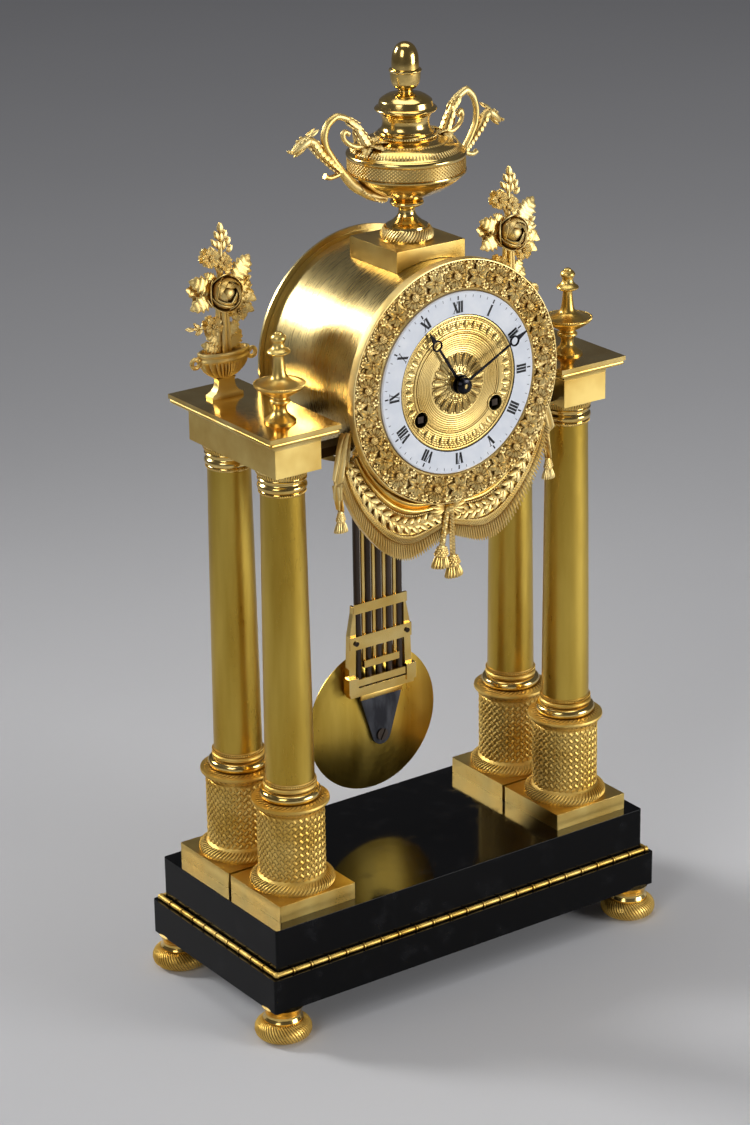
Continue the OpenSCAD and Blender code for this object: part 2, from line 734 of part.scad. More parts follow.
module swag_half() {
    translate([0, 0, swag_front - swag_t]) linear_extrude(swag_t - 1.5)
        polygon(concat(fringe(), arc(0, 0, swag_in, -26, -90, 14)));
    translate([0, 0, swag_front - swag_t]) linear_extrude(swag_t)
        polygon(concat([for (k = [0:16]) along(swag_low, k / 16) * 0.905], arc(0, 0, swag_in, -30, -90, 12)));
    for (k = [0:8]) hull() {
        for (q = [0, 1]) rotate([0, 0, -90 + (k + q) * 6.6]) translate([drum_r + 5.4, 0, swag_front - 1])
            sphere(r = 2.2 - abs(k + q - 4.5) * 0.18, $fn = 6);
    }
    for (k = [1:11]) {
        place = along(swag_low, k / 12) * 0.875;
        translate([place[0], place[1], swag_front]) rotate([0, 0, k * 9 - 20]) scale([1, 0.55, 0.4])
            sphere(r = 3.6, $fn = 6);
    }
    corner_drop();
}

// The knot, the gathered folds and the tassel at a corner
module corner_drop() {
    knot = polar(drum_r + 12.1, -27.5);
    translate([knot[0], knot[1], swag_front - 3]) {
        sphere(r = 4.6, $fn = 10);
        for (k = [-1:1]) hull() {
            translate([k * 1.6, -1, 0]) sphere(r = 2, $fn = 6);
            translate([2 + k * 2.6, k - 20, 0]) sphere(r = 2.6, $fn = 6);
        }
        translate([3.5, -22, 0]) sphere(r = 2.6, $fn = 10);
        translate([3.5, -24, 0]) rotate([90, 0, 0]) cylinder(r1 = 1.8, r2 = 3.2, h = 11, $fn = 10);
    }
}

// One of the two cords in the middle, with its tassel
module middle_cord(x, length) {
    tassel = 8.5;
    translate([x, -drum_r - 11.5, swag_front - 0.6]) rotate([90, 0, 0]) {
        cylinder(r = 1.5, h = length - tassel, $fn = 8);
        translate([0, 0, length - tassel - 1]) sphere(r = 2.3, $fn = 8);
        translate([0, 0, length - tassel]) cylinder(r1 = 1.7, r2 = 2.6, h = tassel, $fn = 8);
    }
}

module drapery_swag() {
    color(gilt) facing() {
        swag_half();
        mirror([1, 0, 0]) swag_half();
        middle_cord(-2.6, 29);
        middle_cord(2.6, 36);
    }
}

module urn_plinth() {
    color(pale_brass) difference() {
        translate([-urn_plinth_w / 2, -urn_front - urn_plinth_d / 2, drum_z + drum_r / 2])
            cube([urn_plinth_w, urn_plinth_d, urn_z - drum_z - drum_r / 2]);
        facing() bar(drum_r + seat, -drum_back - 20, drum_front + 20);
    }
}

module on_urn(z) {
    translate([0, -urn_front, urn_z + z]) children();
}

module urn_foot() {
    h = urn_foot_h;
    color(gilt) on_urn(0) lathe(concat([[13.1, 0], [13.1, 1.2]], smooth([[12.6, 3.2], [11.2, 5.2], [10.75, 7]]),
        smooth([[8, 8.6], [5, 11.6], [4.2, h - 5], [5.2, h - 2.8]]), [[6.6, h - 2.4]],
        arc(7.4, h - 1.3, 1.3, -90, 60), [[7, h]]));
}

function urn_outline(h, wide) = concat([[7, 0]],
    smooth([[9, 0.6], [wide * 0.58, 4.4], [wide * 0.86, 11.5], [wide * 0.985, 17.5]], 4),
    [[wide, 18.2], [wide, 20], [wide - 0.7, 20.4], [wide - 0.7, 27.2], [wide - 0.2, 27.6]],
    arc(wide - 1.4, 29.2, 1.6, -50, 70, 4), smooth([[wide * 0.94, 31.2], [wide * 0.84, 33.8], [wide * 0.54, 37]]),
    arc(14.4, h - 4.5, 1.1, -80, 80), smooth([[13, h - 3], [12.5, h - 1.6], [12.4, h]]));

module urn_body() {
    color(gilt) on_urn(urn_foot_h) lathe(urn_outline(urn_body_h, urn_r));
}

module urn_lid() {
    h = urn_lid_h;
    color(gilt) on_urn(urn_foot_h + urn_body_h) lathe(concat([[12.4, 0]],
        smooth([[13, 1.6], [14.2, 2.8]]), arc(14.7, 4.2, 1.1, -70, 80, 4), smooth([[13.8, 5.8], [13.5, 7.6]]),
        smooth([[12.8, 9], [9, 11.4], [4.4, 12.3], [3.6, 12.9], [4.4, 14]]),
        smooth([[6.4, 16.4], [7.7, h - 18], [8.1, h - 16.2]]), [[8.1, h - 15.6], [6.8, h - 15.2]],
        smooth([[6.9, h - 11], [6.3, h - 6.2], [4.7, h - 2.4], [2.4, h - 0.6], [0.5, h]], 4)));
}

// A tapering limb through points given as x, height and radius
module limb(points) {
    for (k = [0:len(points) - 2]) hull() for (q = [points[k], points[k + 1]])
        translate([q[0], 0, q[1]]) sphere(r = q[2], $fn = 8);
}

// A handle that rises from the bowl, loops back to the shoulder and ends in a fanciful head
module urn_handle() {
    bowl = urn_r;
    difference() {
        union() {
            limb([[15, 21.4, 2.6], [bowl - 4, 26, 2.6], [bowl + 5, 35.6, 2.3], [bowl + 12, 46.4, 2.1],
                [bowl + 16, 55, 2], [bowl + 15.4, 62.4, 2], [bowl + 10, 67, 2], [bowl + 4, 67.2, 2.1],
                [bowl - 1.4, 63.4, 2.5], [bowl - 5.6, 56.6, 3], [bowl - 8, 53, 3]]);
            limb([[bowl + 9.6, 43, 2], [bowl + 17.4, 50.4, 2.4], [bowl + 22.4, 57, 2.6], [bowl + 27.4, 58.2, 2.9],
                [bowl + 35.6, 52, 1.3]]);
            limb([[bowl + 26, 56.4, 2], [bowl + 31.6, 50, 0.9]]);
            limb([[bowl + 24, 59, 2], [bowl + 20, 63, 0.7]]);
            limb([[bowl - 5, 55.4, 1.8], [bowl + 2.6, 55, 1.6], [bowl + 6.4, 58, 1.5], [bowl + 4.4, 60.8, 1.4]]);
            limb([[bowl + 7.6, 39, 1.8], [bowl + 14.4, 37.4, 1.5], [bowl + 17.2, 39.2, 1.5]]);
            limb([[bowl - 4, 26, 2.2], [bowl + 2.4, 23.6, 0.8]]);
        }
        translate([0, 0, urn_foot_h]) lathe([for (q = urn_outline(urn_body_h, urn_r)) q + [seat, 0]]);
    }
}

module urn_handle_left() {
    color(gilt) on_urn(0) mirror([1, 0, 0]) urn_handle();
}

module urn_handle_right() {
    color(gilt) on_urn(0) urn_handle();
}

// The winding holes, through whatever lies between two depths
module winding_holes(from, to) {
    for (place = [going_at, strike_at]) translate([place[0], place[1], 0]) bar(winding_hole_r, from, to);
}

dial_feet = [60, 180, 300];
dial_foot_r = 1.5;
dial_foot_at_r = dial_r - 5;

module dial_plate() {
    color(pale_brass) facing() {
        difference() {
            bar(dial_r, dial_back, dial_front);
            winding_holes(dial_back - 1, dial_front + 1);
            bar(pipe_r + 0.6, dial_back - 1, dial_front + 1);
        }
        for (turn = dial_feet) rotate([0, 0, turn]) translate([dial_foot_at_r, 0, 0])
            bar(dial_foot_r, front_plate_z, dial_back + 0.5);
    }
}

module dial_ring() {
    color(white_enamel) facing() lathe([[dial_r, dial_front], [dial_r, dial_face - 0.5],
        [dial_r - 0.6, dial_face], [enamel_in + 0.4, dial_face], [enamel_in, dial_face - 0.4]], enamel_in);
}

module dial_centre() {
    edge = enamel_in - seat;
    color(gilt) facing() difference() {
        lathe([[edge, dial_front], [edge, dial_face - 0.3], [edge - 1, dial_face - 0.3], [edge - 1.4, dial_face - 0.7],
            [27.6, dial_face - 0.7], [27.2, dial_face - 0.4], [26.2, dial_face - 0.4], [25.8, dial_face - 0.8],
            [14.4, dial_face - 0.8], [14, dial_face - 0.5], [9, dial_face - 0.7], [5, dial_face - 0.2]]);
        winding_holes(dial_front - 1, dial_face + 1);
        bar(pipe_r + 0.6, dial_front - 1, dial_face + 1);
    }
}

// A slender hand with an open ring near its tip, along its own y
module ring_hand(length, ring_at, ring_r, hub_r, hole_r, width) {
    linear_extrude(hand_t) difference() {
        union() {
            circle(r = hub_r, $fn = fine);
            polygon([[-width, 0], [width, 0], [width * 0.7, ring_at], [-width * 0.7, ring_at]]);
            translate([0, ring_at]) circle(r = ring_r, $fn = fine);
            polygon([[-ring_r * 0.45, ring_at + ring_r * 0.8], [ring_r * 0.45, ring_at + ring_r * 0.8],
                [0.15, length], [-0.15, length]]);
        }
        circle(r = hole_r, $fn = fine);
        translate([0, ring_at]) circle(r = ring_r * 0.68, $fn = fine);
    }
}

module hour_hand() {
    color(blued_steel) facing() translate([0, 0, hour_hand_z]) rotate([0, 0, -hour_at])
        ring_hand(hour_len, hour_len - 8.6, 3.1, 5, pipe_r + running, 0.9);
}

module minute_hand() {
    color(blued_steel) facing() translate([0, 0, minute_hand_z]) rotate([0, 0, -minute_at])
        ring_hand(minute_len, minute_len - 8.8, 2.9, 4.2, cannon_r + running, 0.75);
}

module hand_nut() {
    color(blued_steel) facing() lathe([[4.4, minute_hand_z + hand_t], [4.4, minute_hand_z + hand_t + 1.2],
        [3.4, minute_hand_z + hand_t + 2.4], [2.2, minute_hand_z + hand_t + 2.8]], centre_r + running);
}

// Heights of the pendulum's bars, and how far each rod reaches down
top_bar_z = knife_z - 25;
top_bar_h = 6;
rod_top = top_bar_z + 1;
stem_w = 3;
hanger_w = 2 * (rod_x(8) + steel_rod_r + 1.5);
hanger_t = 6;
strip_t = 1.5;
groove = 0.3;
strip_front = pendulum_y - steel_rod_r - strip_t + groove;
cheek_in = rod_x(8) + steel_rod_r + groove;
bars = [[2 * cheek_in + 2.4, 5.5, 70], [2 * cheek_in + 8, 7.5, 50.5], [2 * rod_x(7) + 2.6, 4, 37.2],
    [2 * cheek_in - 0.6, 4, 27.3]];
yoke_z = bob_z + 19.3;
yoke_h = 5;
yoke_w = 2 * cheek_in + 10.4;
shoe_w = 6.2;
shoe_h = 9.2;
tongue_w = 27.2;
tongue_t = 2;
bob_edge = 0.4;
bob_y = pendulum_y + seat + bob_t + bob_edge;

function bar_low(k) = bob_z + bars[k][2] - bars[k][1] / 2;
function rod_x(k) = (k - 4) * rod_pitch;
function rod_low(k) = k % 2 == 0 ? yoke_z + yoke_h : bar_low(2);
function rod_size(k) = k % 2 == 0 ? steel_rod_r : rod_r;

// The rods' fronts lie in one plane, behind the strips
module at_rod(k) {
    translate([rod_x(k), pendulum_y - steel_rod_r + rod_size(k), 0]) children();
}

module rod(k) {
    at_rod(k) bar(rod_size(k), rod_low(k), rod_top);
}

// The bores or grooves for the rods that reach a bar
module rod_bores(low, high) {
    for (k = [0:8]) if (rod_low(k) < high) at_rod(k) bar(rod_size(k) + running, max(low - 1, rod_low(k)), high);
}

module pendulum_hanger() {
    color(pale_brass) {
        difference() {
            translate([-hanger_w / 2, pendulum_y - hanger_t / 2, top_bar_z - top_bar_h / 2])
                cube([hanger_w, hanger_t, top_bar_h]);
            rod_bores(top_bar_z - top_bar_h / 2, rod_top);
        }
        translate([-stem_w / 2, pendulum_y - stem_w / 2, rod_top + seat])
            cube([stem_w, stem_w, knife_z - rod_top - seat + 3]);
        translate([0, pendulum_y, knife_z]) rotate([90, 0, 0]) linear_extrude(8, center = true)
            polygon([[0, 0], [1.2, 3], [-1.2, 3]]);
    }
}

module steel_rods() {
    color(steel) for (k = [0:2:8]) rod(k);
}

module brass_rods() {
    color(gilt) for (k = [1:2:7]) rod(k);
}

module pendulum_bars() {
    color(gilt) for (k = [0:3]) difference() {
        translate([-bars[k][0] / 2, strip_front, bar_low(k)]) cube([bars[k][0], strip_t, bars[k][1]]);
        rod_bores(bar_low(k), bar_low(k) + bars[k][1] + 1);
    }
}

// A straight cheek beside the rods that spreads from the first bar to the second and runs down to the yoke
module cheek() {
    low = yoke_z - bob_z + 1;
    polygon([[cheek_in, bars[0][2] + 1], [bars[0][0] / 2, bars[0][2] + 1], [bars[0][0] / 2 + 0.2, bars[0][2] - 3],
        [bars[1][0] / 2, bars[1][2] + 4], [yoke_w / 2, low], [cheek_in + 0.8, low], [cheek_in, bars[1][2]]]);
}

module pendulum_yoke() {
    cheek_front = strip_front + strip_t + 0.05;
    cheek_back = pendulum_y + 2;
    sole_front = pendulum_y - 3;
    shoe_front = strip_front - 0.7;
    color(gilt) {
        for (s = [0, 1]) mirror([s, 0, 0]) {
            translate([0, cheek_back, bob_z]) rotate([90, 0, 0]) linear_extrude(cheek_back - cheek_front) cheek();
            translate([cheek_in + 0.1, shoe_front, yoke_z + 2.2]) cube([shoe_w, cheek_back - shoe_front - 0.6, shoe_h]);
        }
        translate([-yoke_w / 2, sole_front, yoke_z]) cube([yoke_w, 4.2, yoke_h - 0.05]);
    }
}

module pendulum_tongue() {
    tip = 6;
    top = yoke_z - bob_z;
    color(blued_steel) translate([0, pendulum_y, bob_z]) rotate([90, 0, 0]) linear_extrude(tongue_t)
        polygon(concat([[-tongue_w / 2, top], [-tongue_w / 2, top - 2.5]], arc(0, -6.8, tip, 197, 343, 10),
            [[tongue_w / 2, top - 2.5], [tongue_w / 2, top]]));
}

module pendulum_bob() {
    curve = (bob_r * bob_r + bob_t * bob_t) / (2 * bob_t);
    half = asin(bob_r / curve);
    color(gilt) translate([0, bob_y, bob_z]) rotate([90, 0, 0]) rotate_extrude($fn = fine) polygon(concat(
        [for (k = [0:10]) [curve * sin(half * k / 10), bob_t + bob_edge - curve + curve * cos(half * k / 10)]],
        [for (k = [10:-1:0]) [curve * sin(half * k / 10), curve - bob_t - curve * cos(half * k / 10)]]));
}

// The holes of the going train and the hammer in a plate
module train_holes(from, to) {
    for (place = [centre_at, second_at, third_at, escape_at, hammer_at]) translate([place[0], place[1], 0])
        bar(place == centre_at ? centre_r + running : arbor_hole_r, from, to);
    for (place = [going_at, strike_at]) translate([place[0], place[1], 0]) bar(winding_bore_r, from, to);
}

module at_pillars() {
    for (turn = pillar_turns) rotate([0, 0, turn]) translate([pillar_at_r, 0, 0]) children();
}

module front_plate() {
    z = front_plate_z;
    color(pale_brass) facing() {
        difference() {
            bar(plate_r, z, z + plate_t);
            train_holes(z - 1, z + plate_t + 1);
            translate([anchor_at[0], anchor_at[1], 0]) bar(arbor_hole_r, z - 1, z + plate_t + 1);
            for (turn = dial_feet) rotate([0, 0, turn]) translate([dial_foot_at_r, 0, 0])
                bar(dial_foot_r + running, z - 1, z + plate_t + 1);
            at_pillars() bar(pillar_pivot_r + running, z - 1, z + plate_t + 1);
        }
        translate([minute_wheel_at[0], minute_wheel_at[1], 0]) bar(arbor_r, z + plate_t / 2, dial_back - 0.3);
    }
}

module back_plate() {
    z = back_plate_z;
    color(pale_brass) facing() difference() {
        bar(plate_r - 1, z, z + plate_t);
        train_holes(z - 1, z + plate_t + 1);
        translate([anchor_at[0], anchor_at[1], 0]) bar(3, z - 1, z + plate_t + 1);
        at_pillars() bar(pillar_pivot_r + running, z - 1, z + plate_t + 1);
    }
}

module pillars() {
    low = back_plate_z + plate_t;
    color(pale_brass) facing() at_pillars() lathe([[pillar_pivot_r, back_plate_z - 1], [pillar_pivot_r, low],
        [pillar_r, low], [pillar_r, low + 3], [pillar_r - 0.8, low + 4], [pillar_r - 0.8, front_plate_z - 4],
        [pillar_r, front_plate_z - 3], [pillar_r, front_plate_z], [pillar_pivot_r, front_plate_z],
        [pillar_pivot_r, front_plate_z + plate_t]]);
}

// The bracket behind the back plate that carries the anchor's pivot and the pendulum
module back_cock() {
    bridge = back_plate_z - 10;
    ear_gap = 2.2;
    beam_low = knife_rise + 5.6;
    color(pale_brass) facing() difference() {
        union() {
            for (s = [-1, 1]) translate([s * 13 - 3, knife_rise - 5, bridge]) cube([6, 12, back_plate_z - bridge]);
            translate([-16, knife_rise - 5, bridge - 2]) cube([32, beam_low - knife_rise + 9, 2.5]);
            translate([-5, beam_low, rod_plane - ear_gap - 2]) cube([10, 4, bridge - rod_plane + ear_gap + 3]);
            for (z = [rod_plane + ear_gap, rod_plane - ear_gap - 2])
                translate([-5, knife_rise - 4, z]) cube([10, beam_low - knife_rise + 5, 2]);
        }
        translate([anchor_at[0], anchor_at[1], 0]) bar(arbor_hole_r, bridge - 3, bridge + 1);
        for (z = [rod_plane + ear_gap, rod_plane - ear_gap - 2]) translate([0, knife_rise, z - 0.5]) linear_extrude(3)
            polygon([[0, -seat], [3.4, 4.8], [-3.4, 4.8]]);
    }
}

barrel_r = pair(barrel_teeth, 0, barrel_module) - 2;
great_wheel_z = back_plate_z + plate_t + 18;
barrel_top = front_plate_z - 2;

// A spring barrel with its great wheel
module barrel(phase) {
    difference() {
        union() {
            pinion(barrel_teeth, barrel_module, phase, great_wheel_z, great_wheel_z + 2);
            bar(barrel_r, great_wheel_z + 1.5, barrel_top - 1);
            bar(barrel_r - 3, barrel_top - 1.5, barrel_top);
        }
        bar(winding_bore_r, great_wheel_z - 1, barrel_top + 1);
    }
}

// An arbor with its square for the key and its ratchet wheel
module winding_arbor() {
    wheel_z = front_plate_z + plate_t + 0.6;
    bar(winding_r, back_plate_z + 0.3, wheel_z + 1);
    translate([0, 0, wheel_z]) linear_extrude(1.4) polygon([for (k = [0:23]) for (q = [0, 0.92])
        polar(q == 0 ? 7 : 5.9, (k + q) * 15)]);
    translate([-winding_square / 2, -winding_square / 2, wheel_z + 0.5])
        cube([winding_square, winding_square, dial_face - 1.2 - wheel_z]);
}

module going_barrel() {
    color(pale_brass) on_arbor(going_at) barrel(barrel_phase);
}

module strike_barrel() {
    color(pale_brass) on_arbor(strike_at) barrel(0);
}

module going_arbor() {
    color(steel) on_arbor(going_at) winding_arbor();
}

module strike_arbor() {
    color(steel) on_arbor(strike_at) winding_arbor();
}

// Depths of the train's wheels, counted forwards from the back plate
train_z = back_plate_z + plate_t;
escape_z = train_z + 1.6;
third_z = train_z + 5.6;
centre_z = train_z + 9;
second_z = train_z + 13;
arbor_low = back_plate_z + 0.3;
arbor_high = front_plate_z + plate_t - 0.3;

module second_wheel() {
    color(gilt) on_arbor(second_at) {
        bar(arbor_r, arbor_low, arbor_high);
        spoked_wheel(second_teeth, second_module, second_phase, second_z, wheel_t, 5);
        bar(arbor_r + 2, second_z - 0.8, second_z + 2.3);
        pinion(second_leaves, barrel_module, 0, great_wheel_z - 1, great_wheel_z + 3);
    }
}

module centre_wheel() {
    color(gilt) on_arbor(centre_at) {
        bar(centre_r, arbor_low, minute_hand_z + hand_t + 2.2);
        spoked_wheel(centre_teeth, centre_module, 0, centre_z, wheel_t, 5);
        bar(arbor_r + 2, centre_z - 0.8, centre_z + 2);
        pinion(centre_leaves, second_module, 0, second_z - 1.2, second_z + 2.8);
    }
}

module third_wheel() {
    color(gilt) on_arbor(third_at) {
        bar(arbor_r, arbor_low, arbor_high);
        spoked_wheel(third_teeth, third_module, 0, third_z, wheel_t, 5);
        bar(arbor_r + 2, third_z - 0.6, third_z + 2);
        pinion(third_leaves, centre_module, third_phase, centre_z - 1, centre_z + 3);
    }
}

module escape_wheel() {
    color(gilt) on_arbor(escape_at) {
        bar(arbor_r, arbor_low, arbor_high);
        translate([0, 0, escape_z]) linear_extrude(wheel_t) difference() {
            polygon([for (k = [0:escape_teeth - 1]) for (q = [[escape_r, 0], [escape_r - 1.6, 0.3],
                [escape_r - 1.6, 0.75]]) polar(q[0], (k + q[1]) * 360 / escape_teeth)]);
            for (k = [0:3]) polygon(window(2.8, escape_r - 3, k * 90 + 14, k * 90 + 76));
        }
        bar(arbor_r + 1.4, escape_z - 0.4, escape_z + 2);
        pinion(escape_leaves, third_module, escape_phase, third_z - 1, third_z + 3);
    }
}

// The pallets span the escape wheel; the crutch behind the back plate drives the pendulum
module anchor() {
    span = escape_r * 0.79;
    crutch_z = back_plate_z - 6;
    fork_y = -16;
    color(steel) on_arbor(anchor_at) {
        bar(arbor_r, back_plate_z - 12, arbor_high);
        bar(2.2, escape_z - 0.6, escape_z + 2.1);
        translate([0, 0, escape_z]) linear_extrude(wheel_t) for (s = [0, 1]) mirror([s, 0]) polygon([[-1, 1.9],
            [1.4, 1.7], [span + 2.4, -3], [span + 2, -6.2], [span + 0.7, -5.2], [span + 0.7, -3.2], [1.4, -1.6],
            [-1, -1.8]]);
        bar(2.2, crutch_z - 2, crutch_z + 1);
        translate([-1.2, fork_y, crutch_z - 1.6]) cube([2.4, -fork_y, 1.6]);
        translate([-3.4, fork_y - 1, crutch_z - 1.6]) cube([6.8, 2.4, 1.6]);
        for (s = [-1, 1]) translate([s * (stem_w / 2 + seat + 0.8) - 0.8, fork_y - 1, rod_plane - 1.5])
            cube([1.6, 2.4, crutch_z - rod_plane + 0.5]);
    }
}

motion_z = front_plate_z + plate_t + 2;

module cannon_pinion() {
    color(gilt) on_arbor(centre_at) difference() {
        union() {
            bar(cannon_r, motion_z - 1, minute_hand_z + hand_t - 0.1);
            pinion(cannon_leaves, minute_module, 0, motion_z, motion_z + 3);
        }
        bar(centre_r + running, motion_z - 2, minute_hand_z + 3);
    }
}

module minute_wheel() {
    color(gilt) on_arbor(minute_wheel_at) difference() {
        union() {
            pinion(minute_teeth, minute_module, minute_phase, motion_z + 0.4, motion_z + 1.7);
            pinion(minute_leaves, hour_module, 0, motion_z + 1.5, motion_z + 6);
        }
        bar(arbor_hole_r, motion_z - 1, motion_z + 8);
    }
}

module hour_wheel() {
    low = motion_z + 4.3;
    color(gilt) on_arbor(centre_at) difference() {
        union() {
            pinion(hour_teeth, hour_module, hour_phase, low, low + 1.4);
            bar(pipe_r, low, hour_hand_z + hand_t);
        }
        bar(cannon_r + running, low - 1, hour_hand_z + 3);
    }
}

bell_screw_r = 1.5;

module bell() {
    rim = back_plate_z - 2;
    deep = 12;
    wall = 1.3;
    hole = bell_screw_r + seat;
    outer = smooth([[hole, rim - deep], [bell_r * 0.34, rim - deep * 0.98], [bell_r * 0.7, rim - deep * 0.82],
        [bell_r * 0.91, rim - deep * 0.45], [bell_r, rim]]);
    inner = smooth([[bell_r - wall, rim], [bell_r * 0.91 - wall, rim - deep * 0.45],
        [bell_r * 0.7 - wall, rim - deep * 0.82 + wall * 0.7], [bell_r * 0.34, rim - deep + wall],
        [hole, rim - deep + wall]]);
    color(pale_brass) on_arbor(bell_at) rotate_extrude($fn = fine) polygon(concat(outer, inner));
}

module bell_post() {
    low = back_plate_z - 14;
    color(steel) on_arbor(bell_at) lathe([[2.6, low - 2.6], [2.6, low], [bell_screw_r, low], [bell_screw_r, low + 1.3],
        [2.2, low + 1.3], [2.2, back_plate_z - 1.2], [4, back_plate_z - 1.2], [4, back_plate_z]]);
}

module hammer() {
    z = back_plate_z - 8;
    reach = norm(hammer_head_at - hammer_at);
    color(steel) on_arbor(hammer_at) {
        bar(arbor_r, z - 1, arbor_high);
        bar(2.2, z, z + 2);
        rotate([0, 0, bearing(hammer_at, hammer_head_at)]) {
            translate([0, -0.8, z]) cube([reach, 1.6, 1.6]);
            translate([reach, 0, 0]) bar(hammer_head_r, z - 2, z + 4);
        }
    }
}

base_lower_slab();
base_upper_slab();
base_moulding();
feet();
column_plinths();
column_pedestals();
column_shafts();
column_capitals();
tie_rods();
tie_rod_nuts();
architraves();
cornices();
front_finials();
flower_baskets();
bouquets();
drum_brackets();
drum_shell();
rear_ring();
back_door();
bezel();
drapery_swag();
urn_plinth();
urn_foot();
urn_body();
urn_lid();
urn_handle_left();
urn_handle_right();
dial_plate();
dial_ring();
dial_centre();
hour_hand();
minute_hand();
hand_nut();
pendulum_hanger();
steel_rods();
brass_rods();
pendulum_bars();
pendulum_yoke();
pendulum_tongue();
pendulum_bob();
front_plate();
back_plate();
pillars();
back_cock();
going_barrel();
strike_barrel();
going_arbor();
strike_arbor();
second_wheel();
centre_wheel();
third_wheel();
escape_wheel();
anchor();
cannon_pinion();
minute_wheel();
hour_wheel();
bell();
bell_post();
hammer();
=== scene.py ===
# %% [markdown]
# # A portico clock in gilt bronze
# Four columns on a black stone base carry a brass drum with the dial, and a gridiron pendulum swings
# between them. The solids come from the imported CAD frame; this file dresses them. Ornament that was cast
# and chased on the real clock is modelled here, and every surface gets its finish.

import math

import bpy
from mathutils import Matrix, Vector


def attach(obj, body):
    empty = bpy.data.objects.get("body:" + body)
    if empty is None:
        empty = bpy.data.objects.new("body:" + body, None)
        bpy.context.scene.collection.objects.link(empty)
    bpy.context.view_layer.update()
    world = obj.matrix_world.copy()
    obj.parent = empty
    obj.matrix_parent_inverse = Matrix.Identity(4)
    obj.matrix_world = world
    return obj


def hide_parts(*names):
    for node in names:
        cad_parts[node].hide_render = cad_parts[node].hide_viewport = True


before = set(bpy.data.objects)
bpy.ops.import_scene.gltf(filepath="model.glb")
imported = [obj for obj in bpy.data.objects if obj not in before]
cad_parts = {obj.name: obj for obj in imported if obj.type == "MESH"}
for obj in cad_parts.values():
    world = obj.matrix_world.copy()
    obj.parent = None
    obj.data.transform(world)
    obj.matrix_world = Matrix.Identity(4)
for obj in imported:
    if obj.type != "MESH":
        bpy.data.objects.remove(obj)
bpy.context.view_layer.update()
MM = 0.001

# %% [markdown]
# ## The camera
# The photograph was taken from the left and above with a long lens. Its place was found by fitting the
# straight edges, circles and symmetry of the clock, so it is written down as angles, a distance and the
# point that the lens looks at. The camera was held with a slight roll.

# %% Camera
CAMERA_AZIMUTH, CAMERA_ELEVATION, CAMERA_ROLL = -35.09, 21.12, -0.90
CAMERA_DISTANCE = 1743.8 * MM
CAMERA_TARGET = Vector((-11.79, 8.28, 221.28)) * MM
LENS, SENSOR = 105.9, 36

azimuth, elevation = math.radians(CAMERA_AZIMUTH), math.radians(CAMERA_ELEVATION)
toward_camera = Vector((math.sin(azimuth) * math.cos(elevation), -math.cos(azimuth) * math.cos(elevation),
                        math.sin(elevation)))
bpy.ops.object.camera_add()
camera = bpy.context.object
camera.data.lens = LENS
camera.data.sensor_width = SENSOR
camera.location = CAMERA_TARGET + CAMERA_DISTANCE * toward_camera
camera.rotation_mode = "QUATERNION"
roll = Matrix.Rotation(math.radians(CAMERA_ROLL), 3, "Z").to_quaternion()
camera.rotation_quaternion = (-toward_camera).to_track_quat("-Z", "Y") @ roll
bpy.context.scene.camera = camera
print("camera stands at", [round(v, 3) for v in camera.location])

# %% [markdown]
# ## Floor and light
# Polished gilding shows its surroundings more than its own colour. A pale floor fills the upright faces
# with light from below. A large soft lamp stands low on the right and makes the fronts bright, a weaker
# one on the left models the columns, a small one behind on the left shines along the drum, and a wide one
# hangs above. The flat tops mirror the grey surround, so they stay dark, as in a plain photographer's
# studio.

# %% Floor, lamps and surround
def linear(hex_colour):
    """An sRGB hex colour as the linear values that shaders take."""
    parts = [int(hex_colour[i:i + 2], 16) / 255 for i in (1, 3, 5)]
    return (*[p / 12.92 if p <= 0.04045 else ((p + 0.055) / 1.055) ** 2.4 for p in parts], 1)


def leave_edit_mode():
    """Back to object mode with nothing selected."""
    if bpy.context.object and bpy.context.object.mode != "OBJECT":
        bpy.ops.object.mode_set(mode="OBJECT")
    bpy.ops.object.select_all(action="DESELECT")


leave_edit_mode()
FLOOR_SIZE = 9.0
bpy.ops.mesh.primitive_plane_add(size=FLOOR_SIZE, location=(0, 0, 0))
floor = bpy.context.object
floor.name = "studio_floor"

LAMPS = {  # name: place, aim, size (m), watts, spread (degrees)
    "key_right": ((1.35, -1.95, 0.6), (0, 0, 0.25), (1.1, 0.9), 32, 180),
    "key_left": ((-1.9, -0.9, 1.5), (0, 0, 0.25), (0.9, 1.2), 12, 180),
    "rim_left": ((-1.1, 1.65, 1.25), (0, 0, 0.38), (0.5, 0.6), 2.6, 50),
    "strip_top": ((0.1, 0.1, 2.1), (0, 0, 0.3), (1.7, 0.9), 11, 180),
}
for lamp_name, (place, aim, size, watts, spread) in LAMPS.items():
    bpy.ops.object.light_add(type="AREA", location=place)
    lamp = bpy.context.object
    lamp.name = lamp_name
    lamp.data.shape = "RECTANGLE"
    lamp.data.size, lamp.data.size_y = size
    lamp.data.energy, lamp.data.spread = watts, math.radians(spread)
    lamp.rotation_mode = "QUATERNION"
    lamp.rotation_quaternion = (Vector(aim) - Vector(place)).to_track_quat("-Z", "Y")
world = bpy.data.worlds.new("studio")
bpy.context.scene.world = world
world.use_nodes = True
surround = world.node_tree.nodes["Background"]
surround.inputs["Color"].default_value = linear("#545457")
surround.inputs["Strength"].default_value = 1.0
bpy.context.scene.view_settings.view_transform = "Standard"
print("lamps:", ", ".join(LAMPS))
